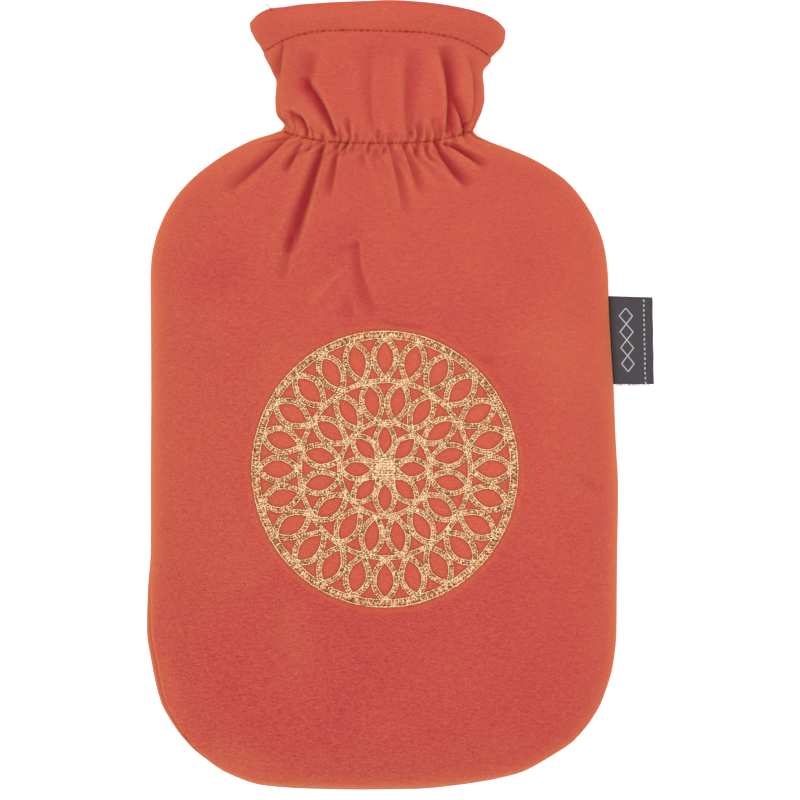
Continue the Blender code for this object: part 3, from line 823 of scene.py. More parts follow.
@dataclass
class Panel:
    """One panel of plush velour, from the bottom seam to the turned hem of the collar."""

    name: str
    node: str
    face: Face
    folds: list[Fold]
    gathers: GatherSet
    form: CoverForm
    roll: SeamRoll
    side_pitch: float
    middle_pitch: float
    seam_pitch: float
    middle_share: float
    pattern: RoundelPattern | None = None
    strokes: Sequence[NapAndShadePatch] = ()
    fold_gain: float = 1.2
    lining_step: int = 4
    hem_steps: int = 5
    flat: tuple[float, float] = (0.250, 0.375)
    flat_area: float = 0.074

    def lay_rows(self) -> list[Line]:
        """Spread the rows between the lines of the cloth, from the rim down.

        Returns:
            The rows, one more than a multiple of the lining's step.
        """
        pitch_name = self.face.value + "_pitch"
        rows: list[Line] = []
        for upper, lower in zip(LINES, LINES[1:]):
            count = max(1, round(abs(upper.middle - lower.middle) / getattr(lower, pitch_name)))
            if lower is LINES[-1]:
                count += -(len(rows) + count) % self.lining_step
            for step in range(count):
                part = step / count
                row = Line(*(a + (b - a) * part for a, b in zip(upper, lower)))
                swell = upper.swell + (lower.swell - upper.swell) * float(smooth_step(part))
                rows.append(row._replace(swell=swell))
        return rows + [LINES[-1]]

    def column_shares(self, body_length: float) -> np.ndarray:
        """Shares of a row's length at the columns, close together at the seams and in the middle.

        Args:
            body_length: length of a row across the body.

        Returns:
            The shares, from 0 to 1.
        """
        trial = np.linspace(0, 1, COLUMN_SAMPLES)
        from_seam = np.minimum(trial, 1 - trial) * body_length
        in_middle = np.abs(trial - 0.5) < self.middle_share / 2
        pitch = np.where(in_middle, self.middle_pitch, self.side_pitch)
        pitch = np.where(from_seam < SEAM_BAND, self.seam_pitch, pitch)
        kernel = np.hanning(2 * COLUMN_BLUR + 1)
        pitch = np.convolve(np.pad(pitch, COLUMN_BLUR, mode="edge"), kernel / kernel.sum(), mode="valid")
        steps = (1 / pitch[1:] + 1 / pitch[:-1]) / 2 * np.diff(trial) * body_length
        count = np.concatenate([[0], np.cumsum(steps)])
        columns = math.ceil(count[-1] / self.lining_step) * self.lining_step
        return np.interp(np.linspace(0, count[-1], columns + 1), count, trial)

    def outward(self, points: np.ndarray) -> np.ndarray:
        """Unit normals of a grid of points, away from the inside of the cover."""
        normals = np.cross(np.gradient(points, axis=1), -np.gradient(points, axis=0))
        return unit(normals if self.face is Face.FRONT else -normals)

    def fold_offset(self, x: np.ndarray, y: np.ndarray) -> np.ndarray:
        """How far the folds move the cloth outwards at points seen from above."""
        offset = np.zeros_like(x)
        along = np.linspace(0, 1, FOLD_SAMPLES)
        for fold in self.folds:
            run_x, run_y = fold.x1 - fold.x0, fold.y1 - fold.y0
            length = math.hypot(run_x, run_y)
            bulge = 4 * fold.bow * along * (1 - along)
            line_x = fold.x0 + run_x * along - run_y / length * bulge
            line_y = fold.y0 + run_y * along + run_x / length * bulge
            reach = length / 2 + FOLD_REACH * fold.width
            near = np.hypot(x - line_x[FOLD_SAMPLES // 2], y - line_y[FOLD_SAMPLES // 2]) < reach
            distances = np.hypot(x[near][:, None] - line_x, y[near][:, None] - line_y)
            nearest = distances.argmin(axis=1)
            part = along[nearest]
            lead = unit(np.stack([np.gradient(line_x), np.gradient(line_y)], axis=-1))[nearest]
            gap_x, gap_y = x[near] - line_x[nearest], y[near] - line_y[nearest]
            beside = lead[:, 0] * gap_y - lead[:, 1] * gap_x
            ahead = lead[:, 0] * gap_x + lead[:, 1] * gap_y
            past = np.where(part == 0, np.minimum(ahead, 0), np.where(part == 1, np.maximum(ahead, 0), 0))
            steep = (beside > 0) == (lead[:, 1] * line_x[nearest] > 0)
            width = fold.width * (FOLD_WIDTH + FOLD_WIDENS * part)
            reach = width * np.where(steep, STEEP_WIDTH, GENTLE_WIDTH)
            ridge = np.where(steep, STEEP_RIDGE, GENTLE_RIDGE)
            depth = fold.depth * (1 - part) ** FOLD_FADE * (FOLD_DEPTH + FOLD_DEEPENS * part)
            depth = depth * bell(past, width)
            offset[near] += depth * (ridge * bell(np.abs(beside) - 2 * reach, reach) - bell(beside, reach))
        return offset

    def ease_offset(self, points: np.ndarray) -> np.ndarray:
        """The slight unevenness of loose cloth, a sum of slow waves in seeded directions."""
        chance = np.random.default_rng(EASE_SEEDS[self.face])
        offset = np.zeros(points.shape[:2])
        for wave in EASE_WAVES:
            turn, start = chance.uniform(0, np.pi), chance.uniform(0, 2 * np.pi)
            along = points[..., 0] * math.cos(turn) + points[..., 1] * math.sin(turn)
            bent = along + EASE_BEND * wave * np.sin(points[..., 1] / wave * EASE_BEND_TURNS + start)
            offset += wave * EASE_HEIGHT * np.sin(2 * np.pi * bent / wave + start)
        return offset

    def shape(self) -> None:
        """Work out the outer face of the cloth, point by point."""
        self.rows = self.lay_rows()
        body_row = next(row for row in self.rows if row.side <= BODY_LINE.side)
        self.shares = self.column_shares(self.form.spread(self.face, body_row, np.array([0.5]))[1])
        base, lengths = [], []
        for row in self.rows:
            across, length = self.form.spread(self.face, row, self.shares)
            base.append(self.form.row_points(self.face, row, across))
            lengths.append(length)
        base, lengths = np.array(base), np.array(lengths)
        steps = np.linalg.norm(np.diff(base, axis=0), axis=2)
        down = np.concatenate([np.zeros((1, base.shape[1])), np.cumsum(steps, axis=0)])
        self.hem_row = self.nearest_row(HEM_STITCH_Y)
        self.elastic_row = self.nearest_row(ELASTIC_Y)
        from_elastic = down[self.elastic_row] - down
        from_hem = down[self.hem_row] - down
        from_side = np.minimum(self.shares, 1 - self.shares)[None, :] * lengths[:, None]
        from_bottom = down[-1] - down
        from_seam = np.minimum(from_side, from_bottom)

        calm = smooth_step(from_side / SEAM_CALM)
        swell = np.array([row.swell for row in self.rows])[:, None]
        x, y = base[..., 0], base[..., 1]
        folds = self.fold_offset(x, y)
        pleats = self.gathers.offset(self.shares, lengths, from_elastic, lengths[self.elastic_row])
        sunk = ELASTIC_SHADE.at(from_elastic) + HEM_SHADE.at(from_hem)
        # painted sheen of the pile near the seams and the rim, weaker at the neck and towards the right
        self.edge = bell(np.minimum(from_seam, down + RIM_SHEEN_OFFSET), EDGE_SHEEN)
        self.edge *= np.interp(y, NECK_EDGE_Y, NECK_EDGE) * np.interp(x, ACROSS_EDGE_X, ACROSS_EDGE)
        # painted shade in the troughs and in the dips of the rows of sewing
        self.folded = np.clip((sunk - folds / DEEP_FOLD - pleats / DEEP_PLEAT) * calm, 0, 1)
        # painted highlight on the ridges and on the puckers beside the elastic
        puckered = PUCKER.at(np.abs(from_elastic) - PUCKER_AT)
        self.crest = np.clip((folds / HIGH_FOLD + pleats / HIGH_PLEAT + puckered) * calm, 0, 1)
        offset = (folds * self.fold_gain + pleats + swell) * calm
        loose = smooth_step(from_seam / EASE_CALM)
        offset += self.ease_offset(base) * loose * smooth_step(-from_elastic / EASE_CALM)
        turns = 2 * np.pi * self.shares[None, :] * lengths[:, None] / ELASTIC_SEWING.pitch
        beads = 1 + BEAD_SHARE * np.cos(turns)
        offset -= ELASTIC_DIP.at(from_elastic) * beads * smooth_step(from_side / BEAD_CALM)
        offset -= HEM_DIP.at(from_hem)
        offset -= np.maximum(SIDE_DIP.at(from_side), BOTTOM_DIP.at(from_bottom))
        offset += SEAM_SWELL.at(from_seam - SEAM_SWELL_AT)
        self.stroked = self.nap_tone(x, y)
        self.pressed, self.shaded = np.zeros_like(offset), np.zeros_like(offset)
        if self.pattern:
            offset += self.press(x, y)
        normals = self.outward(base)
        outer = base + offset[..., None] * normals
        outer = self.roll.roll(outer, self.form)
        base = self.roll.roll(base, self.form)
        if self.face is Face.BACK:
            outer[..., 2] = np.maximum(outer[..., 2], 0)
        self.base, self.outer, self.offset = base, outer, offset
        self.normals = self.outward(outer)

    def nap_tone(self, x: np.ndarray, y: np.ndarray) -> np.ndarray:
        """How much lighter or darker the patches make the pile at points seen from above: the nap's own tone,
        with painted shade and light.
        """
        tone = np.zeros_like(x)
        for stroke in self.strokes:
            away_x, away_y = x - stroke.x, y - stroke.y
            along = away_x * math.cos(stroke.turn) + away_y * math.sin(stroke.turn)
            across = away_y * math.cos(stroke.turn) - away_x * math.sin(stroke.turn)
            away = np.hypot(along / stroke.half_length, across / stroke.half_width)
            tone += stroke.tone * bell(away, 1.0)
        return tone

    def columns_within(self, share: float) -> int:
        """Number of columns nearer to a side seam than a share of the row."""
        return int(np.searchsorted(self.shares, share))

    def nearest_row(self, side: float) -> int:
        """Number of the row that meets the side seams nearest to a height."""
        return int(np.argmin([abs(row.side - side) for row in self.rows]))

    def press(self, x: np.ndarray, y: np.ndarray) -> np.ndarray:
        """How far the embroidery pulls the cloth in, where it flattens the pile, and where its painted shadow
        lies beside the thread.

        Args:
            x: places across.
            y: places along.

        Returns:
            The offset of the cloth, mostly below 0.
        """
        gap = self.pattern.gap_to_thread(x, y)
        share = self.pattern.radius_share(x, y)
        inside = smooth_step((SUNK_EDGE - share) / SUNK_EASE)
        self.pressed = smooth_step((PRESSED_EDGE - share) / PRESSED_EASE)
        beside = np.maximum(gap, 0)
        # painted shadow beside the thread, partly pile pressed by it
        self.shaded = THREAD_SHADE.at(beside)
        from_edge = (share - 1) * self.pattern.half_height
        swell = ROUNDEL_SWELL.at(from_edge - ROUNDEL_SWELL_AT)
        return swell - ROUNDEL_SINK * inside - THREAD_DIP.at(beside)

    def inner_face(self) -> np.ndarray:
        """The cloth's inner face, coarser than the outer one and nowhere through it.

        Returns:
            Its points, every lining_step rows and columns.
        """
        step = self.lining_step
        rows, columns = self.offset.shape
        padded = np.pad(self.offset, step, mode="edge")
        lowest = np.min([padded[i:i + rows, j:j + columns] for i in range(0, 2 * step + 1, 2)
                         for j in range(0, 2 * step + 1, 2)], axis=0)
        hem = np.array([HEM_CLOTH if row.side >= HEM_STITCH_Y else CLOTH for row in self.rows])
        inward = (lowest - hem[:, None])[::step, ::step, None] * self.outward(self.base)[::step, ::step]
        inner = self.base[::step, ::step] + inward
        seam = self.outer[::step, ::step, 2]
        if self.face is Face.BACK:
            inner[..., 2] = np.maximum(inner[..., 2], CLOTH * THIN_CLOTH)
        inner[:, 0, 2], inner[:, -1, 2], inner[-1, :, 2] = seam[:, 0], seam[:, -1], seam[-1]
        return inner

    def hem_turn(self, inner: np.ndarray) -> np.ndarray:
        """The rounded edge where the cloth turns in at the rim.

        Args:
            inner: points of the inner face.

        Returns:
            Rows of points from just past the outer face to just short of the inner one.
        """
        rim = self.outer[0]
        at = np.arange(0, len(self.shares), self.lining_step)
        facing = at_lengths(np.arange(len(self.shares)), at, inner[0])
        middle, half = (rim + facing) / 2, (rim - facing) / 2
        upward = unit(self.outer[0] - self.outer[2])
        radius = np.linalg.norm(half, axis=1, keepdims=True)
        turns = np.linspace(0, np.pi, self.hem_steps + 2)[1:-1]
        return np.array([middle + half * math.cos(turn) + upward * radius * math.sin(turn) for turn in turns])

    def weave_faces(self, turn_start: int, inner_start: int) -> list[list[int]]:
        """List the faces of the closed sheet, seen from outside for the front panel.

        Args:
            turn_start: number of the first vertex of the hem's turn.
            inner_start: number of the first vertex of the inner face.

        Returns:
            The faces.
        """
        step, columns = self.lining_step, len(self.shares)
        rows, inner_columns = len(self.rows), (len(self.shares) - 1) // self.lining_step + 1
        inner_rows = (rows - 1) // step + 1

        def outer(row: int, column: int) -> int:
            """Number of a vertex of the outer face."""
            return row * columns + column

        def turn(row: int, column: int) -> int:
            """Number of a vertex of the hem's turn."""
            return turn_start + row * columns + column

        def inner(row: int, column: int) -> int:
            """Number of a vertex of the inner face."""
            return inner_start + row * inner_columns + column

        last, end = self.hem_steps - 1, columns - 1
        faces = grid_faces(rows, columns)
        faces += [[turn(0, c), outer(0, c), outer(0, c + 1), turn(0, c + 1)] for c in range(end)]
        faces += grid_faces(self.hem_steps, columns, turn_start, flipped=True)
        faces += [[inner(0, j), *(turn(last, j * step + k) for k in range(step + 1)), inner(0, j + 1)]
                  for j in range(inner_columns - 1)]
        faces += grid_faces(inner_rows, inner_columns, inner_start, flipped=True)
        for i in range(inner_rows - 1):
            hem = [turn(k, 0) for k in range(self.hem_steps)] if i == 0 else []
            faces.append([outer(i * step + k, 0) for k in range(step, -1, -1)] + hem
                         + [inner(i, 0), inner(i + 1, 0)])
            hem = [turn(k, end) for k in range(last, -1, -1)] if i == 0 else []
            faces.append([inner(i, inner_columns - 1)] + hem
                         + [outer(i * step + k, end) for k in range(step + 1)]
                         + [inner(i + 1, inner_columns - 1)])
        for j in range(inner_columns - 1):
            faces.append([outer(rows - 1, j * step + k) for k in range(step, -1, -1)]
                         + [inner(inner_rows - 1, j), inner(inner_rows - 1, j + 1)])
        return faces

    def build(self) -> bpy.types.Object:
        """Make the panel as one closed sheet of cloth.

        Returns:
            The panel's object.
        """
        self.shape()
        inner = self.inner_face()
        turn = self.hem_turn(inner)
        turn_start = self.outer.shape[0] * self.outer.shape[1]
        inner_start = turn_start + turn.shape[0] * turn.shape[1]
        faces = self.weave_faces(turn_start, inner_start)
        if self.face is Face.BACK:
            faces = [list(reversed(loop)) for loop in faces]
        points = np.concatenate([self.outer.reshape(-1, 3), turn.reshape(-1, 3), inner.reshape(-1, 3)])
        self.item = make_mesh_object(self.name, points, faces)
        for name, values in (("pressed_pile", self.pressed), ("shaded_pile", self.shaded),
                             ("fold_shade", self.folded), ("crest_highlight", self.crest),
                             ("edge_sheen_mask", self.edge), ("nap_and_painted_shade", self.stroked)):
            painted = np.zeros(len(points))
            painted[:turn_start] = values.ravel()
            paint_points(self.item, name, painted)
        return self.item

    def declare(self, slot: str) -> None:
        """Say what the panel rides on and stands for."""
        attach(self.item, BODY)
        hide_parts(self.node)


# ---- Thread ----

class StitchModel:
    """One stitch, modelled once: a short length of thread with narrowed ends."""

    SIDES = 4
    CUTS = (-0.28, 0.28)
    END = 0.55
    END_HEIGHT = 0.49

    def __init__(self) -> None:
        """Model the stitch and keep its points and faces."""
        deselect_all()
        bpy.ops.mesh.primitive_cylinder_add(vertices=self.SIDES, radius=1, depth=1, end_fill_type="NGON")
        item = bpy.context.active_object
        bpy.ops.object.mode_set(mode="EDIT")
        for height in self.CUTS:
            bpy.ops.mesh.select_all(action="SELECT")
            bpy.ops.mesh.bisect(plane_co=(0, 0, height), plane_no=(0, 0, 1))
        bpy.ops.mesh.select_all(action="DESELECT")
        bpy.ops.object.mode_set(mode="OBJECT")
        for vertex in item.data.vertices:
            vertex.select = abs(vertex.co.z) > self.END_HEIGHT
        bpy.ops.object.mode_set(mode="EDIT")
        bpy.ops.transform.resize(value=(self.END, self.END, 1))
        bpy.ops.object.mode_set(mode="OBJECT")
        points = np.array([vertex.co for vertex in item.data.vertices])
        self.cross, self.part = points[:, :2], points[:, 2] + 0.5
        self.faces = [list(polygon.vertices) for polygon in item.data.polygons]
        bpy.data.objects.remove(item, do_unlink=True)


@dataclass
class Thread:
    """Stitches of one thread, laid as copies of the modelled one and joined in one piece."""

    name: str
    model: StitchModel
    starts: list[np.ndarray] = field(default_factory=list)
    middles: list[np.ndarray] = field(default_factory=list)
    ends: list[np.ndarray] = field(default_factory=list)
    ups: list[np.ndarray] = field(default_factory=list)
    radii: list[float] = field(default_factory=list)
    tones: list[float] = field(default_factory=list)

    def lay(self, start: np.ndarray, middle: np.ndarray, end: np.ndarray, up: np.ndarray,
            radius: float, tone: float = 0.0) -> None:
        """Lay one stitch through three points, its crown towards up, lighter for a tone above 0."""
        self.starts.append(start)
        self.middles.append(middle)
        self.ends.append(end)
        self.ups.append(up)
        self.radii.append(radius)
        self.tones.append(tone)

    def build(self, seed: int) -> bpy.types.Object:
        """Join all the stitches in one mesh.

        Args:
            seed: of the stitches' own shades.

        Returns:
            The thread's object.
        """
        start, middle, end = (np.array(rows) for rows in (self.starts, self.middles, self.ends))
        along = unit(end - start)
        up = unit(np.array(self.ups))
        side = unit(np.cross(along, up))
        up = np.cross(side, along)
        radius = np.array(self.radii)
        part = self.model.part[None, :, None]
        arch = 1 - (2 * part - 1) ** 4
        line = start[:, None] + (end - start)[:, None] * part
        line = line + (middle - (start + end) / 2)[:, None] * arch
        cross = self.model.cross[None] * radius[:, None, None]
        points = line + cross[..., :1] * side[:, None] + cross[..., 1:] * up[:, None]
        size = self.model.part.shape[0]
        faces = [[index * size + corner for corner in loop] for index in range(len(radius))
                 for loop in self.model.faces]
        item = make_mesh_object(self.name, points, faces)
        chance = np.random.default_rng(seed)
        shades = chance.uniform(0, 1, len(radius)) + np.array(self.tones)
        paint_points(item, "strand_shade", np.repeat(shades, size))
        return item


@dataclass(frozen=True)
class SewingRow:
    """How a row of machine sewing is set."""

    pitch: float
    length: float
    shortest: float
    longest: float
    radius: float
    slant: float
    sink: float
    proud: float


HEM_SEWING = SewingRow(pitch=0.0029, length=0.0023, shortest=0.50, longest=1.25, radius=0.00056,
                       slant=0.04, sink=0.0002, proud=0.00010)
ELASTIC_SEWING = SewingRow(pitch=0.0017, length=0.0009, shortest=0.80, longest=1.20, radius=0.00050,
                           slant=-0.42, sink=0.0001, proud=0.00020)
SEAM_SEWING = SewingRow(pitch=0.0024, length=0.0025, shortest=0.96, longest=1.04, radius=0.00042,
                        slant=0.00, sink=0.0004, proud=-0.0004)
SEWING_INSET = 0.035      # a row of sewing starts and ends this share of its length from the seams
SEWING_STRAY = 0.0001     # a stitch may be this far along from its even place
SEAM_SAMPLES = 1200
LOOSE_END_X = -0.0496
LOOSE_END_RUN = np.array([-0.0026, 0.0026, 0.0002])
LOOSE_END_RISE = (0, 0, 0.0003)     # its knee stands this much above a straight run
LOOSE_END_KNEE = 0.55
LOOSE_END_ROOT = (0, 0.0010, 0)     # past the rim, and its first stitch starts a little inside
LOOSE_END_HOLD = (0, 0.0004, 0)
LOOSE_END_RADIUS = 0.00020


@dataclass
class PanelSewing:
    """Rows of sewing on the panels: the hem's, the elastic's and the seam's own."""

    model: StitchModel
    front: Panel
    back: Panel

    def sew(self, thread: Thread, path: np.ndarray, sewing: SewingRow, chance: np.random.Generator) -> None:
        """Lay stitches along a path.

        Args:
            thread: the thread that they belong to.
            path: a point of the cloth and its normal in each row.
            sewing: how the stitches are set.
            chance: the uneven hand of the machine.
        """
        length = run_lengths(path[:, :3])
        count = round(length[-1] / sewing.pitch)
        middle = (np.arange(count) + 0.5) / count * length[-1]
        middle = middle + chance.uniform(-1, 1, count) * SEWING_STRAY
        half = sewing.length / 2 * chance.uniform(sewing.shortest, sewing.longest, count)
        first, centre, last = (at_lengths(where, length, path)
                               for where in (middle - half, middle, middle + half))
        for a, m, b in zip(first, centre, last):
            up = m[3:] / np.linalg.norm(m[3:])
            lean = np.cross(up, unit(b[:3] - a[:3])) * sewing.slant * sewing.length
            thread.lay(a[:3] - up * sewing.sink - lean, m[:3] + up * sewing.proud,
                       b[:3] - up * sewing.sink + lean, up, sewing.radius)

    def row(self, name: str, sewing: SewingRow, row_of: str, seed: int) -> bpy.types.Object:
        """Sew one row round the collar.

        Args:
            name: name of the piece.
            sewing: how it is set.
            row_of: the panel's field that names its row.
            seed: of the uneven hand of the machine.

        Returns:
            The thread's object.
        """
        thread = Thread(name, self.model)
        chance = np.random.default_rng(seed)
        for panel in (self.front, self.back):
            row = getattr(panel, row_of)
            inset = panel.columns_within(SEWING_INSET)
            path = np.concatenate([panel.outer[row], panel.normals[row]], axis=1)[inset:-inset]
            self.sew(thread, path, sewing, chance)
        return thread.build(seed)

    def seam(self, name: str, sewing: SewingRow, seed: int) -> bpy.types.Object:
        """Sew the two panels together down the left side, along the bottom and up the right side.

        Args:
            name: name of the piece.
            sewing: how it is set.
            seed: of the uneven hand of the machine.

        Returns:
            The thread's object.
        """
        edges = []
        for panel in (self.front, self.back):
            sides = [np.concatenate([grid[1:, 0], grid[-1, 1:-1], grid[::-1, -1][:-1]])
                     for grid in (panel.outer, panel.normals)]
            length = run_lengths(sides[0])
            at = np.linspace(0, length[-1], SEAM_SAMPLES)
            edges.append([at_lengths(at, length, grid) for grid in sides])
        (front, front_up), (back, back_up) = edges
        thread = Thread(name, self.model)
        path = np.concatenate([(front + back) / 2, unit(front_up + back_up)], axis=1)
        self.sew(thread, path, sewing, np.random.default_rng(seed))
        return thread.build(seed)

    def loose_end(self, name: str, seed: int) -> bpy.types.Object:
        """The short end of thread that stands out at the left of the rim."""
        rim = self.front.outer[0]
        root = rim[np.argmin(np.abs(rim[:, 0] - LOOSE_END_X))]
        root = root + LOOSE_END_ROOT
        knee, tip = root + LOOSE_END_RUN * LOOSE_END_KNEE + LOOSE_END_RISE, root + LOOSE_END_RUN
        thread = Thread(name, self.model)
        for start, end in ((root - LOOSE_END_HOLD, knee), (knee, tip)):
            thread.lay(start, (start + end) / 2, end, np.array([0, 0, 1.0]), LOOSE_END_RADIUS)
        return thread.build(seed)


@dataclass
class Roundel:
    """The embroidery on the front: gold stitches across the pattern's lines, bound at their edges."""

    pattern: RoundelPattern
    model: StitchModel
    panel: Panel
    pitch: float = 0.00026
    radius: float = 0.00021
    run_length: float = 0.0022
    edge_run: float = 0.0014
    edge_inset: float = 0.00022
    edge_tone: float = 0.42
    fill_tone: float = -0.13
    along_fill: float = 0.92       # stitches that follow a line start this share of their length apart
    edge_fill: float = 0.90        # and so do those at its edges
    sway: float = 0.05             # how far stitches turn off their direction, along a line
    twist: float = 0.40            # and across it
    along_reach: tuple[float, float] = (0.90, 1.15)
    edge_reach: tuple[float, float] = (0.85, 1.15)
    across_reach: tuple[float, float] = (0.55, 0.98)
    hold: float = 0.85             # share of its reach that a stitch keeps inside its line
    stray: float = 0.00006
    edge_stray: float = 0.00005
    thickness: tuple[float, float] = (0.85, 1.20)
    lift: tuple[float, float] = (0.7, 2.0)
    sink: float = 0.00012
    edge_thickness: float = 1.25
    edge_lift: float = 2.2
    edge_rise: float = 0.0001
    seed: int = 7

    def ground(self) -> BVHTree:
        """The cloth under the roundel, ready to be felt from above."""
        points = self.panel.outer
        rows = np.flatnonzero(np.abs(points[:, points.shape[1] // 2, 1] - self.pattern.centre_y)
                              < self.pattern.half_height * 1.1)
        first, last = rows[0], rows[-1]
        part = points[first:last + 1]
        return BVHTree.FromPolygons([Vector(p) for p in part.reshape(-1, 3)], grid_faces(*part.shape[:2]))

    def on_cloth(self, tree: BVHTree, place: np.ndarray) -> tuple[np.ndarray, np.ndarray]:
        """The point of the cloth below a place, and its normal."""
        point, normal, _, _ = tree.ray_cast(Vector((place[0], place[1], 0.1)), Vector((0, 0, -1)))
        return np.array(point), np.array(normal)

    def build(self) -> list[bpy.types.Object]:
        """Sew the border, the rings and the leaves.

        Returns:
            The threads' objects.
        """
        tree = self.ground()
        chance = np.random.default_rng(self.seed)
        limits = {"heart": 0.40, "middle_leaves": 0.70, "outer_leaves": 0.92, "border": 2.0}
        threads = {name: Thread("roundel_" + name, self.model) for name in limits}
        for stroke in self.pattern.strokes:
            away = self.pattern.radius_share(stroke.points[:, 0], stroke.points[:, 1]).mean()
            thread = threads[next(name for name, limit in limits.items() if away < limit)]
            pitch = self.run_length * self.along_fill if stroke.along else self.pitch
            places, directions = walk(stroke.points, pitch)
            if not stroke.along:
                self.bind(thread, tree, stroke, chance)
            for place, direction in zip(places, directions):
                across = np.array([-direction[1], direction[0]])
                if stroke.along:
                    lay = direction + across * chance.normal(0, self.sway)
                    reach = self.run_length / 2 * chance.uniform(*self.along_reach)
                    slide = 0.0
                else:
                    lay = across + direction * chance.normal(0, self.twist)
                    reach = stroke.width / 2 * chance.uniform(*self.across_reach)
                    slide = chance.uniform(-1, 1) * max(0.0, stroke.width / 2 - reach * self.hold)
                lay = lay / np.linalg.norm(lay)
                middle = place + lay * slide + chance.normal(0, self.stray, 2)
                low, _ = self.on_cloth(tree, middle - lay * reach)
                high, _ = self.on_cloth(tree, middle + lay * reach)
                crown, up = self.on_cloth(tree, middle)
                radius = self.radius * chance.uniform(*self.thickness)
                lift = radius * chance.uniform(*self.lift)
                tone = self.edge_tone if stroke.along else self.fill_tone
                thread.lay(low - up * self.sink, crown + up * lift, high - up * self.sink, up, radius, tone)
        return [thread.build(self.seed + number) for number, thread in enumerate(threads.values())]

    def bind(self, thread: Thread, tree: BVHTree, stroke: Stroke, chance: np.random.Generator) -> None:
        """Sew a running line along each edge of a stroke.

        Args:
            thread: the thread that it belongs to.
            tree: the cloth.
            stroke: the stroke whose edges are bound.
            chance: the uneven hand of the machine.
        """
        places, directions = walk(stroke.points, self.edge_run * self.edge_fill)
        across = np.stack([-directions[:, 1], directions[:, 0]], axis=-1)
        for side in (-1, 1):
            for middle, lay in zip(places + across * side * (stroke.width / 2 - self.edge_inset), directions):
                middle = middle + chance.normal(0, self.edge_stray, 2)
                reach = self.edge_run / 2 * chance.uniform(*self.edge_reach)
                low, _ = self.on_cloth(tree, middle - lay * reach)
                high, _ = self.on_cloth(tree, middle + lay * reach)
                crown, up = self.on_cloth(tree, middle)
                thread.lay(low + up * self.edge_rise, crown + up * self.radius * self.edge_lift,
                           high + up * self.edge_rise, up, self.radius * self.edge_thickness,
                           self.edge_tone)


# ---- Side label ----

@dataclass
class SideLabel:
    """A woven strip folded once, its two ends caught in the right side seam."""

    form: CoverForm
    top_y: float = 0.0445
    bottom_y: float = 0.0049
    fold_x: float = 0.1213
    skew: float = 0.0006
    cloth: float = 0.0008
    slit: float = 0.0007
    rows: int = 44
    layer_columns: int = 24
    turn_columns: int = 10
    fray_count: int = 46
    fray_length: tuple[float, float] = (0.0006, 0.0013)
    fray_radius: tuple[float, float] = (0.00012, 0.00020)
    fray_seed: int = 31

    def outer_points(self) -> np.ndarray:
        """Points of the strip's outer face, row by row from its top edge.

        Returns:
            A grid of points: along one layer, round the fold and back along the other.
        """
        half = self.slit / 2 + self.cloth
        layer = np.linspace(0, 1, self.layer_columns, endpoint=False)
        turn = np.linspace(np.pi / 2, -np.pi / 2, self.turn_columns + 1)
        grid = []
        for y in np.linspace(self.top_y, self.bottom_y, self.rows + 1):
            down = (self.top_y - y) / (self.top_y - self.bottom_y)
            start = float(self.form.right.at(y)) - SEAM_TUCK
            end = self.fold_x + self.skew * down - half
            seam = float(self.form.section["seam"].at(y))
            upper_z = half * (0.80 + 0.20 * np.sin(layer * np.pi / 2))
            x = np.concatenate([start + (end - start) * layer, end + half * np.cos(turn),
                                start + (end - start) * layer[::-1]])
            z = np.concatenate([upper_z, half * np.sin(turn), -upper_z[::-1]])
            out = np.clip((x - start) / (end - start), 0, 1.1)
            bend = 0.0007 * out ** 2 * math.sin(2.6 * down + 0.4) - 0.0005 * out ** 2
            edge = 0.00006 * math.sin(21 * down) * out
            sag = 0.0005 * out * (1 - down)
            grid.append(np.stack([x + edge, y - sag, seam + z + bend], axis=-1))
        return np.array(grid)

    def build(self) -> bpy.types.Object:
        """Make the strip as one closed sheet, with a UV map along it.

        Returns:
            The label's object.
        """
        points = self.outer_points()
        rows, columns = points.shape[:2]
        self.item = make_mesh_object("side_label_woven", points, grid_faces(rows, columns))
        layer = self.item.data.uv_layers.new(name="weave")
        along = run_lengths(points[0])
        for loop in self.item.data.loops:
            row, column = divmod(loop.vertex_index, columns)
            layer.data[loop.index].uv = (along[column], (self.top_y - self.bottom_y) * (1 - row / (rows - 1)))
        solidify = self.item.modifiers.new("cloth", "SOLIDIFY")
        solidify.thickness = self.cloth
        solidify.offset = -1
        deselect_all()
        self.item.select_set(True)
        bpy.context.view_layer.objects.active = self.item
        bpy.ops.object.modifier_apply(modifier=solidify.name)
        return self.item

    def fray(self, model: StitchModel) -> bpy.types.Object:
        """The cut ends of warp that stand out of the lower edge.

        Args:
            model: the stitch that each of them copies.

        Returns:
            The ends' object.
        """
        chance = np.random.default_rng(self.fray_seed)
        thread = Thread("label_fray", model)
        start = float(self.form.right.at(self.bottom_y)) + 0.0012
        seam = float(self.form.section["seam"].at(self.bottom_y))
        for share in chance.beta(1.0, 1.6, self.fray_count):
            root = np.array([start + share * (self.fold_x - start - 0.0010), self.bottom_y + 0.0004,
                             seam + chance.choice((-1, 1)) * (self.slit + self.cloth) / 2])
            tip = root + (chance.normal(0, 0.00030), -chance.uniform(*self.fray_length),
                          chance.normal(0, 0.00012))
            middle = (root + tip) / 2 + (chance.normal(0, 0.00008), 0, 0)
            thread.lay(root, middle, tip, np.array([0, 0, 1.0]), chance.uniform(*self.fray_radius))
        return thread.build(self.fray_seed)

    def declare(self, slot: str) -> None:
        """Say what the label rides on and stands for."""
        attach(self.item, BODY)
        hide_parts("side_label")


# ---- Finishes ----

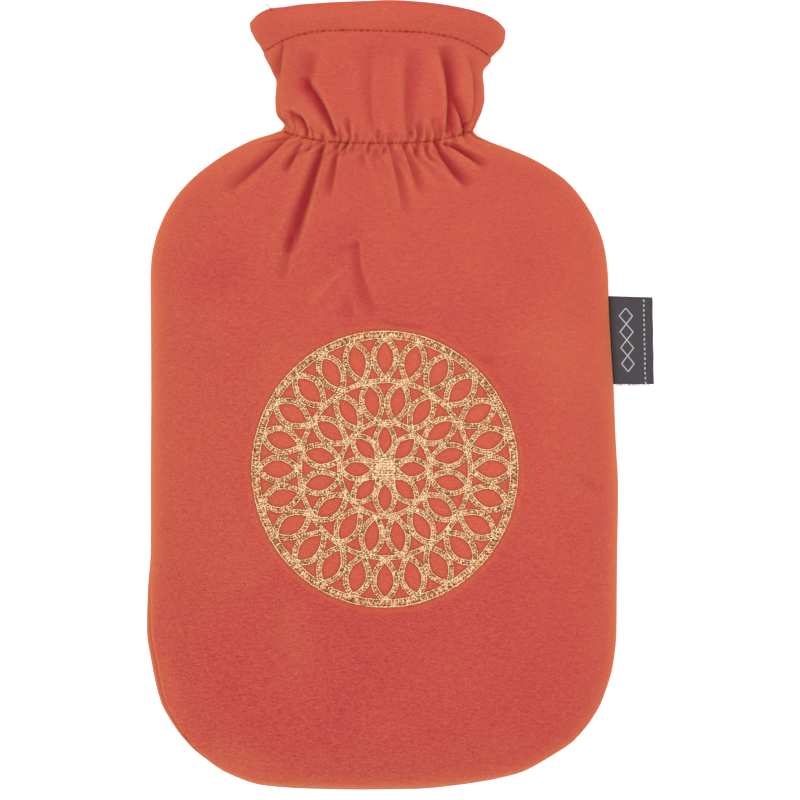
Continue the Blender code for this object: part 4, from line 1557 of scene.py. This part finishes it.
@dataclass
class NodeBench:
    """Adds and joins the nodes of one tree."""

    tree: bpy.types.NodeTree

    def node(self, kind: str, **settings: object) -> bpy.types.Node:
        """Add a node.

        Args:
            kind: its Blender type name.
            settings: its properties.

        Returns:
            The node.
        """
        node = self.tree.nodes.new(kind)
        for name, value in settings.items():
            setattr(node, name, value)
        return node

    def feed(self, node: bpy.types.Node, **inputs: object) -> bpy.types.Node:
        """Give a node's inputs their values or links, by name with _ for a space."""
        for name, value in inputs.items():
            socket = node.inputs[int(name[1:])] if name[0] == "i" and name[1:].isdigit() \
                else node.inputs[name.replace("_", " ")]
            if isinstance(value, Socket):
                self.tree.links.new(value, socket)
            else:
                socket.default_value = value
        return node

    def noise(self, vector: Socket, size: float, detail: float = 2.0, rough: float = 0.5) -> Socket:
        """Noise with features of a given size in metres, about 0.5 on average."""
        node = self.feed(self.node("ShaderNodeTexNoise"), Vector=vector, Scale=1 / size, Detail=detail,
                         Roughness=rough)
        return node.outputs["Fac"]

    def stretch(self, vector: Socket, scale: tuple[float, float, float]) -> Socket:
        """Coordinates stretched along the axes."""
        node = self.feed(self.node("ShaderNodeMapping"), Vector=vector, Scale=scale)
        return node.outputs["Vector"]

    def attribute(self, name: str) -> Socket:
        """A value that the mesh keeps for each vertex."""
        return self.node("ShaderNodeAttribute", attribute_name=name).outputs["Fac"]

    def math(self, operation: str, first: Socket | float, second: Socket | float = 0.0) -> Socket:
        """A sum, product or other operation on two values."""
        node = self.feed(self.node("ShaderNodeMath", operation=operation), i0=first, i1=second)
        return node.outputs[0]

    def plus(self, first: Socket | float, second: Socket | float) -> Socket:
        """The sum of two values."""
        return self.math("ADD", first, second)

    def minus(self, first: Socket | float, second: Socket | float) -> Socket:
        """The first value less the second."""
        return self.math("SUBTRACT", first, second)

    def times(self, first: Socket | float, second: Socket | float) -> Socket:
        """The product of two values."""
        return self.math("MULTIPLY", first, second)

    def range(self, value: Socket, low: float, high: float, to_low: float = 0.0,
              to_high: float = 1.0) -> Socket:
        """A value carried from one range to another, held inside it."""
        node = self.feed(self.node("ShaderNodeMapRange"), Value=value, From_Min=low, From_Max=high,
                         To_Min=to_low, To_Max=to_high)
        return node.outputs["Result"]

    def blend(self, share: Socket | float, first: Socket | Colour, second: Socket | Colour) -> Socket:
        """A mix of two colours."""
        node = self.node("ShaderNodeMix", data_type="RGBA")
        self.feed(node, i0=share, i6=first, i7=second)
        return node.outputs[2]


def make_group(name: str, inputs: dict[str, float],
               outputs: Sequence[str]) -> tuple[bpy.types.NodeTree, NodeBench]:
    """Start a shader node group with a vector and named values in, and named values out.

    Args:
        name: its name.
        inputs: its values and their defaults.
        outputs: what it gives.

    Returns:
        The group and a bench for its nodes.
    """
    group = bpy.data.node_groups.new(name, "ShaderNodeTree")
    group.interface.new_socket(name="Vector", in_out="INPUT", socket_type="NodeSocketVector")
    for label, value in inputs.items():
        socket = group.interface.new_socket(name=label, in_out="INPUT", socket_type="NodeSocketFloat")
        socket.default_value = value
    for label in outputs:
        group.interface.new_socket(name=label, in_out="OUTPUT", socket_type="NodeSocketFloat")
    return group, NodeBench(group)


def make_pile_group() -> bpy.types.NodeTree:
    """The nap of short pile: soft patches where it was stroked, fine streaks and grain.

    Returns:
        A group that gives Shade, from 0 to 1 and 0.5 on average, and Height.
    """
    group, bench = make_group("short_pile", {"Patch": 1.0, "Streak": 1.0, "Grain": 1.0}, ("Shade", "Height"))
    given = bench.node("NodeGroupInput").outputs
    where = given["Vector"]
    patches = bench.minus(bench.noise(where, 0.045, 2.0, 0.5), 0.5)
    drift = bench.plus(bench.times(bench.noise(where, 0.020, 2.0), 0.005),
                       bench.times(bench.noise(where, 0.005, 1.0), 0.0020))
    slide = bench.feed(bench.node("ShaderNodeCombineXYZ"), X=0.0, Y=drift, Z=0.0).outputs[0]
    bent = bench.feed(bench.node("ShaderNodeVectorMath", operation="ADD"), i0=where, i1=slide).outputs[0]
    streaks = bench.minus(bench.noise(bench.stretch(bent, (0.34, 1.0, 1.0)), 0.0009, 2.0, 0.5), 0.5)
    grain = bench.minus(bench.noise(bench.stretch(where, (0.5, 1.0, 1.0)), 0.00055, 2.0, 0.7), 0.5)
    total = bench.times(patches, given["Patch"])
    total = bench.plus(total, bench.times(streaks, given["Streak"]))
    total = bench.plus(total, bench.times(grain, given["Grain"]))
    height = bench.plus(bench.times(bench.times(streaks, given["Streak"]), 0.6),
                        bench.times(grain, given["Grain"]))
    bench.feed(bench.node("NodeGroupOutput"), Shade=bench.plus(total, 0.5), Height=height)
    return group


def make_strand_group() -> bpy.types.NodeTree:
    """Twisted thread: a shade for each strand, broken by the glitter or fuzz of its fibres.

    Returns:
        A group that gives Shade and Height.
    """
    group, bench = make_group("twisted_strand", {"Strand": 0.5, "Fleck": 1.0}, ("Shade", "Height"))
    given = bench.node("NodeGroupInput").outputs
    flecks = bench.noise(given["Vector"], 0.00042, 1.0, 0.8)
    spread = bench.times(bench.minus(flecks, 0.5), given["Fleck"])
    shade = bench.plus(given["Strand"], spread)
    bench.feed(bench.node("NodeGroupOutput"), Shade=shade, Height=flecks)
    return group


@dataclass(frozen=True)
class Finish:
    """What every finish of the cover has: a name, and the values on its shader's own sockets."""

    name: str
    roughness: float
    sheen: float = 0.0
    sheen_roughness: float = 0.5
    sheen_tint: Colour = (1.0, 1.0, 1.0, 1.0)
    specular: float = 0.5

    def start(self) -> tuple[bpy.types.Material, NodeBench, bpy.types.Node]:
        """Make the material with its plain values set.

        Returns:
            The material, a bench for its nodes, and its shader.
        """
        material = bpy.data.materials.new(self.name)
        material.use_nodes = True
        shader = material.node_tree.nodes["Principled BSDF"]
        shader.inputs["Roughness"].default_value = self.roughness
        shader.inputs["Sheen Weight"].default_value = self.sheen
        shader.inputs["Sheen Roughness"].default_value = self.sheen_roughness
        shader.inputs["Sheen Tint"].default_value = self.sheen_tint
        shader.inputs["Specular IOR Level"].default_value = self.specular
        return material, NodeBench(material.node_tree), shader

    def raise_by(self, bench: NodeBench, shader: bpy.types.Node, height: Socket, distance: float,
                 strength: float) -> None:
        """Feed the shader's normal with a bump of a height."""
        bump = bench.feed(bench.node("ShaderNodeBump"), Height=height, Distance=distance, Strength=strength)
        bench.feed(shader, Normal=bump.outputs["Normal"])


@dataclass(frozen=True)
class VelourFinish(Finish):
    """Plush velour, orange red with uneven nap; painted into its colour are shade in folds and sewn dips,
    shadow beside the thread, highlights on ridges and sheen near the edges.
    """

    deep: Colour = (0.405, 0.022, 0.045, 1.0)
    bright: Colour = (0.575, 0.132, 0.064, 1.0)
    pressed: Colour = (0.68, 0.120, 0.064, 1.0)
    # painted shadow beside the gold thread, partly pile pressed by its stitches
    shaded: Colour = (0.32, 0.060, 0.025, 1.0)
    # painted shade in the folds and at the rows of sewing
    folded: Colour = (0.30, 0.009, 0.020, 1.0)
    # painted sheen: paler fuzz at grazing angles near the edges, and a lighter rim colour where the cloth
    # turns from view
    fuzz: Colour = (0.50, 0.170, 0.090, 1.0)
    rim: Colour = (0.70, 0.190, 0.070, 1.0)
    rim_share: float = 0.85
    inner_rim_share: float = 0.10
    patch: float = 0.3
    rubbed: tuple[float, float] = (-0.17, 0.13)       # from the lower left to the upper right
    rubbed_streak: tuple[float, float] = (0.70, 0.42)
    rubbed_grain: tuple[float, float] = (1.45, 0.75)
    crown_x: tuple[float, float] = (0.015, 0.075)     # painted shade: below the collar the middle is a little deeper than its sides, which are painted with sheen
    crown_tone: tuple[float, float] = (-0.07, 0.0)
    crown_y: tuple[float, float] = (0.100, 0.118)
    # painted sheen near the seams and the rim
    edge_tone: float = 0.16
    # painted highlight on the ridges and the puckers
    crest_tone: float = 0.24
    slope_y: tuple[float, float] = (-0.12, 0.10)      # lighter towards the collar; painted light also makes it lighter towards the left, the side the light comes from
    slope_y_tone: tuple[float, float] = (-0.06, 0.06)
    slope_x: tuple[float, float] = (-0.08, 0.08)
    slope_x_tone: tuple[float, float] = (0.02, -0.02)
    flat_tone: float = 0.24
    pressed_share: float = 0.40
    shaded_share: float = 0.46
    open_facing: tuple[float, float] = (0.12, 0.65)
    fuzz_facing: tuple[float, float] = (0.55, 0.82)
    fuzz_edge: float = 0.4
    crease_nap: tuple[float, float] = (0.62, 1.08)

    def build(self, pile: bpy.types.NodeTree) -> bpy.types.Material:
        """Make the material.

        Args:
            pile: the shared nap group.

        Returns:
            The material.
        """
        material, bench, shader = self.start()
        where = bench.node("ShaderNodeTexCoord").outputs["Object"]
        axes = bench.feed(bench.node("ShaderNodeSeparateXYZ"), Vector=where).outputs
        flat = bench.attribute("pressed_pile")
        rubbed = bench.plus(bench.times(axes["X"], 0.8), axes["Y"])
        nap = bench.feed(bench.node("ShaderNodeGroup", node_tree=pile), Vector=where, Patch=self.patch,
                         Streak=bench.range(rubbed, *self.rubbed, *self.rubbed_streak),
                         Grain=bench.plus(bench.range(rubbed, *self.rubbed, *self.rubbed_grain),
                                          bench.times(flat, 1.0)))
        edge = bench.attribute("edge_sheen_mask")
        crown = bench.times(bench.range(bench.math("ABSOLUTE", axes["X"]), *self.crown_x, *self.crown_tone),
                            bench.range(axes["Y"], *self.crown_y, 1.0, 0.0))
        crest = bench.attribute("crest_highlight")
        lit = bench.plus(bench.range(edge, 0.0, 1.0, 0.0, self.edge_tone),
                         bench.range(crest, 0.0, 1.0, 0.0, self.crest_tone))
        slope = bench.plus(bench.range(axes["Y"], *self.slope_y, *self.slope_y_tone),
                           bench.range(axes["X"], *self.slope_x, *self.slope_x_tone))
        stroked = bench.attribute("nap_and_painted_shade")
        tone = bench.plus(bench.plus(slope, crown), bench.plus(lit, stroked))
        tone = bench.plus(tone, bench.times(flat, self.flat_tone))
        colour = bench.blend(bench.plus(nap.outputs["Shade"], tone), self.deep, self.bright)
        colour = bench.blend(bench.times(flat, self.pressed_share), colour, self.pressed)
        shade = bench.attribute("shaded_pile")
        colour = bench.blend(bench.times(shade, self.shaded_share), colour, self.shaded)
        crease = bench.attribute("fold_shade")
        # painted sheen: rim and fuzz colours where the surface turns from view, mostly near the edges, none
        # in the painted fold shade
        facing = bench.feed(bench.node("ShaderNodeLayerWeight"), Blend=0.5).outputs["Facing"]
        rim_sheen = bench.times(bench.range(facing, *self.open_facing),
                                bench.range(edge, 0.0, 1.0, self.inner_rim_share, self.rim_share))
        rim_sheen = bench.times(rim_sheen, bench.range(crease, 0.0, 0.5, 1.0, 0.0))
        colour = bench.blend(rim_sheen, colour, self.rim)
        fuzzy = bench.times(bench.range(facing, *self.fuzz_facing), bench.range(edge, 0.0, self.fuzz_edge))
        colour = bench.blend(fuzzy, colour, self.fuzz)
        # painted shade in the folds and the sewn dips, broken by the nap
        uneven = bench.range(nap.outputs["Height"], -0.3, 0.3, *self.crease_nap)
        colour = bench.blend(bench.times(crease, uneven), colour, self.folded)
        bench.feed(shader, Base_Color=colour)
        self.raise_by(bench, shader, nap.outputs["Height"], 0.0005, 0.8)
        return material


@dataclass(frozen=True)
class ThreadFinish(Finish):
    """What both threads have: twisted strands, flecked by their fibres."""

    fleck: float = 1.0
    relief: float = 0.5
    metal: tuple[float, float] | None = None       # from the dark strands to the light ones
    dark: Colour = (0.0, 0.0, 0.0, 1.0)
    gold: Colour | None = None                     # between them, where there is a third colour
    light: Colour = (1.0, 1.0, 1.0, 1.0)

    def build(self, strand: bpy.types.NodeTree) -> bpy.types.Material:
        """Make the material.

        Args:
            strand: the shared thread group.

        Returns:
            The material.
        """
        material, bench, shader = self.start()
        where = bench.node("ShaderNodeTexCoord").outputs["Object"]
        own = bench.attribute("strand_shade")
        twist = bench.feed(bench.node("ShaderNodeGroup", node_tree=strand), Vector=where, Strand=own,
                           Fleck=self.fleck)
        shade = twist.outputs["Shade"]
        if self.gold:
            lower = bench.blend(bench.range(shade, 0.0, 0.5), self.dark, self.gold)
            colour = bench.blend(bench.range(shade, 0.5, 1.0), lower, self.light)
        else:
            colour = bench.blend(bench.range(shade, 0, 1), self.dark, self.light)
        bench.feed(shader, Base_Color=colour)
        if self.metal:
            bench.feed(shader, Metallic=bench.range(shade, 0.0, 1.0, *self.metal))
        self.raise_by(bench, shader, twist.outputs["Height"], 0.0001, self.relief)
        return material


@dataclass(frozen=True)
class GoldFinish(ThreadFinish):
    """Metallic embroidery thread: flecks from old gold to near white, the near white ones painted glints."""

    fleck: float = 3.0
    relief: float = 0.6
    metal: tuple[float, float] | None = (0.40, 0.70)
    dark: Colour = (0.17, 0.080, 0.020, 1.0)
    gold: Colour | None = (0.93, 0.455, 0.165, 1.0)
    # painted glint: the lightest flecks are near white
    light: Colour = (1.00, 0.88, 0.64, 1.0)


@dataclass(frozen=True)
class SewingFinish(ThreadFinish):
    """Dull sewing thread, a little fuzzy."""

    fleck: float = 0.6
    relief: float = 0.4
    dark: Colour = (0.28, 0.020, 0.011, 1.0)
    light: Colour = (0.46, 0.052, 0.024, 1.0)


@dataclass(frozen=True)
class LabelFinish(Finish):
    """Woven satin label: dark ribs with paler warp showing between them."""

    dark: Colour = (0.026, 0.021, 0.026, 1.0)
    light: Colour = (0.056, 0.046, 0.056, 1.0)
    shaded: Colour = (0.018, 0.009, 0.012, 1.0)
    mark: Colour = (0.52, 0.47, 0.50, 1.0)
    rib: float = 0.00042
    seam_shade: float = 0.0034     # the cloth of the body shades the label this far from the seam
    chain_x: float = 0.0078        # chain of lozenges, its middle line and its reach
    chain_half: float = 0.0030
    chain_step: float = 0.0036
    chain_ends: tuple[float, float] = (0.0056, 0.0344)
    dash_x: float = 0.0160
    dash_step: float = 0.0022
    stroke: float = 0.00030        # half the width of the pale lines

    def build(self) -> bpy.types.Material:
        """Make the material.

        Returns:
            The material.
        """
        material, bench, shader = self.start()
        strip = bench.node("ShaderNodeUVMap", uv_map="weave").outputs["UV"]
        axes = bench.feed(bench.node("ShaderNodeSeparateXYZ"), Vector=strip).outputs
        along, up = axes["X"], axes["Y"]
        turns = 2 * math.pi / self.rib
        ribs = bench.math("SINE", bench.times(up, turns))
        warp = bench.math("SINE", bench.times(along, turns * 0.8))
        weave = bench.times(bench.plus(ribs, bench.times(warp, 0.6)), 0.3)
        uneven = bench.minus(bench.noise(strip, 0.0016, 3.0, 0.7), 0.5)
        shade = bench.plus(bench.plus(weave, bench.times(uneven, 1.2)), 0.5)
        ground = bench.blend(bench.range(shade, 0, 1), self.dark, self.light)
        ground = bench.blend(bench.range(along, 0.0006, self.seam_shade, 0.9, 0.0), ground, self.shaded)
        marks = bench.math("MAXIMUM", self.chain(bench, along, up), self.dashes(bench, along, up))
        marks = bench.times(marks, bench.range(weave, -0.4, 0.4, 0.75, 1.0))
        bench.feed(shader, Base_Color=bench.blend(marks, ground, self.mark))
        self.raise_by(bench, shader, weave, 0.0001, 0.5)
        return material

    def line(self, bench: NodeBench, distance: Socket) -> Socket:
        """A woven line's mask from the distance to its middle, soft at its edges."""
        return bench.range(distance, self.stroke * 0.6, self.stroke * 1.4, 1.0, 0.0)

    def chain(self, bench: NodeBench, along: Socket, up: Socket) -> Socket:
        """Mask of a chain of lozenges that runs up the label.

        Args:
            bench: for its nodes.
            along: place along the strip from the seam.
            up: place across it from the lower edge.

        Returns:
            1 on the lines and 0 off them.
        """
        half = bench.math("PINGPONG", bench.minus(up, self.chain_ends[0]), self.chain_step)
        half = bench.times(half, self.chain_half / self.chain_step)
        aside = bench.math("ABSOLUTE", bench.minus(along, self.chain_x))
        lozenges = self.line(bench, bench.math("ABSOLUTE", bench.minus(aside, half)))
        inside = bench.times(bench.math("GREATER_THAN", up, self.chain_ends[0]),
                            bench.math("LESS_THAN", up, self.chain_ends[1]))
        return bench.times(lozenges, inside)

    def dashes(self, bench: NodeBench, along: Socket, up: Socket) -> Socket:
        """Mask of a dashed line beside the fold."""
        line = self.line(bench, bench.math("ABSOLUTE", bench.minus(along, self.dash_x)))
        beat = bench.math("SINE", bench.times(up, 2 * math.pi / self.dash_step))
        return bench.times(line, bench.range(beat, -0.2, 0.2))


@dataclass(frozen=True)
class FloorFinish(Finish):
    """Plain pale studio floor, lit a little from below as a light table is."""

    colour: Colour = (0.92, 0.92, 0.92, 1.0)
    glow: float = 0.55

    def build(self) -> bpy.types.Material:
        """Make the material."""
        material, bench, shader = self.start()
        bench.feed(shader, Base_Color=self.colour, Emission_Color=self.colour, Emission_Strength=self.glow)
        return material


# ---- Studio ----

class Sun(NamedTuple):
    """A broad far light: the place it shines from, its spread in degrees and its strength."""

    name: str
    place: tuple[float, float, float]
    spread: float
    strength: float


SUNS = (Sun("key", (-0.26, 0.34, 1.60), 50.0, 1.9), Sun("fill", (0.60, -0.45, 1.40), 70.0, 0.9))


@dataclass
class Studio:
    """Pale floor, soft overhead light and a camera that looks straight down."""

    metres_per_pixel: float = 0.00045
    image_size: int = 800
    left_pixel: float = 383.0
    top_pixel: float = 395.0
    seam_height: float = 0.016
    distance: float = 10.0
    sensor: float = 36.0
    floor_size: float = 6.0
    floor_drop: float = 0.0002
    room_light: float = 0.48

    def lay_floor(self, finish: FloorFinish) -> bpy.types.Object:
        """Lay the floor under the cover."""
        deselect_all()
        bpy.ops.mesh.primitive_plane_add(size=self.floor_size)
        floor = bpy.context.active_object
        floor.name = "studio_floor"
        floor.location.z = -self.floor_drop
        floor.data.materials.append(finish.build())
        return floor

    def hang_lights(self) -> None:
        """Hang two broad far lights, one above and one low at the side, in a room of white walls."""
        for sun in SUNS:
            lamp = bpy.data.lights.new(sun.name, "SUN")
            lamp.angle = math.radians(sun.spread)
            lamp.energy = sun.strength
            item = bpy.data.objects.new(sun.name, lamp)
            item.location = sun.place
            item.rotation_euler = Vector(sun.place).to_track_quat("Z", "Y").to_euler()
            bpy.context.scene.collection.objects.link(item)
        world = bpy.data.worlds.new("white_room")
        world.use_nodes = True
        room = world.node_tree.nodes["Background"].inputs
        room["Color"].default_value = (1, 1, 1, 1)
        room["Strength"].default_value = self.room_light
        bpy.context.scene.world = world
        bpy.context.scene.view_settings.view_transform = "Standard"

    def set_camera(self) -> None:
        """Look straight down at the middle of the photograph's frame."""
        middle = self.image_size / 2
        camera = bpy.data.cameras.new("camera")
        camera.sensor_width = self.sensor
        camera.lens = self.sensor * self.distance / (self.image_size * self.metres_per_pixel)
        item = bpy.data.objects.new("camera", camera)
        item.location = ((middle - self.left_pixel) * self.metres_per_pixel,
                         (self.top_pixel - middle) * self.metres_per_pixel,
                         self.seam_height + self.distance)
        bpy.context.scene.collection.objects.link(item)
        bpy.context.scene.camera = item


# ---- The whole cover ----

def dress(item: bpy.types.Object, material: bpy.types.Material) -> None:
    """Give a sewn-on piece its finish and body, and report it.

    Args:
        item: the piece.
        material: its finish.
    """
    item.data.materials.append(material)
    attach(item, BODY)
    report(item)


def report(item: bpy.types.Object) -> None:
    """Log a piece's name and how many triangles it has."""
    triangles = sum(len(polygon.vertices) - 2 for polygon in item.data.polygons)
    LOG.info("%s: %d triangles", item.name, triangles)


def main() -> None:
    """Build the cover's pieces in order, then the studio."""
    logging.basicConfig(level=logging.INFO, format="%(name)s: %(message)s")
    form, roll, pattern = CoverForm(), SeamRoll(), RoundelPattern()
    pile, strand = make_pile_group(), make_strand_group()
    velour = VelourFinish("plush_velour", 0.9, sheen=0.28, sheen_roughness=0.32,
                          sheen_tint=(1.0, 0.36, 0.20, 1.0), specular=0.1).build(pile)
    gold = GoldFinish("gold_metallic_thread", 0.38).build(strand)
    sewing = SewingFinish("sewing_thread", 0.8, specular=0.2).build(strand)
    seam = SewingFinish("seam_thread", 0.8, specular=0.2, dark=(0.32, 0.030, 0.020, 1.0),
                        light=(0.48, 0.070, 0.035, 1.0)).build(strand)
    weave = LabelFinish("label_weave", 0.62, sheen=0.1, specular=0.3).build()

    front = Panel("cover_front_velour", "cover_front", Face.FRONT, FRONT_FOLDS + FRONT_CREASES,
                  GatherSet(seed=5, count=34), form, roll, side_pitch=0.0016, middle_pitch=0.00080,
                  seam_pitch=0.0005, middle_share=0.50, pattern=pattern, strokes=NAP_AND_SHADE_PATCHES)
    back = Panel("cover_back_velour", "cover_back", Face.BACK, BACK_FOLDS, GatherSet(seed=9, count=26), form,
                 roll, side_pitch=0.0016, middle_pitch=0.0024, seam_pitch=0.0007, middle_share=0.50)
    for panel in (front, back):
        panel.build().data.materials.append(velour)
        panel.declare("velour")
        report(panel.item)

    model = StitchModel()
    rows = PanelSewing(model, front, back)
    dress(rows.row("hem_sewing", HEM_SEWING, "hem_row", 21), sewing)
    dress(rows.row("elastic_sewing", ELASTIC_SEWING, "elastic_row", 22), sewing)
    dress(rows.seam("seam_sewing", SEAM_SEWING, 23), seam)
    dress(rows.loose_end("loose_thread", 24), sewing)
    for thread in Roundel(pattern, model, front).build():
        dress(thread, gold)

    label = SideLabel(form)
    label.build().data.materials.append(weave)
    label.declare("label_weave")
    report(label.item)
    pale = SewingFinish("frayed_warp", 0.8, specular=0.2, dark=(0.45, 0.36, 0.40, 1.0),
                        light=(0.75, 0.66, 0.70, 1.0)).build(strand)
    dress(label.fray(model), pale)

    studio = Studio()
    studio.lay_floor(FloorFinish("pale_floor", 0.8, specular=0.1))
    studio.hang_lights()
    studio.set_camera()


if __name__ == "__main__":
    main()
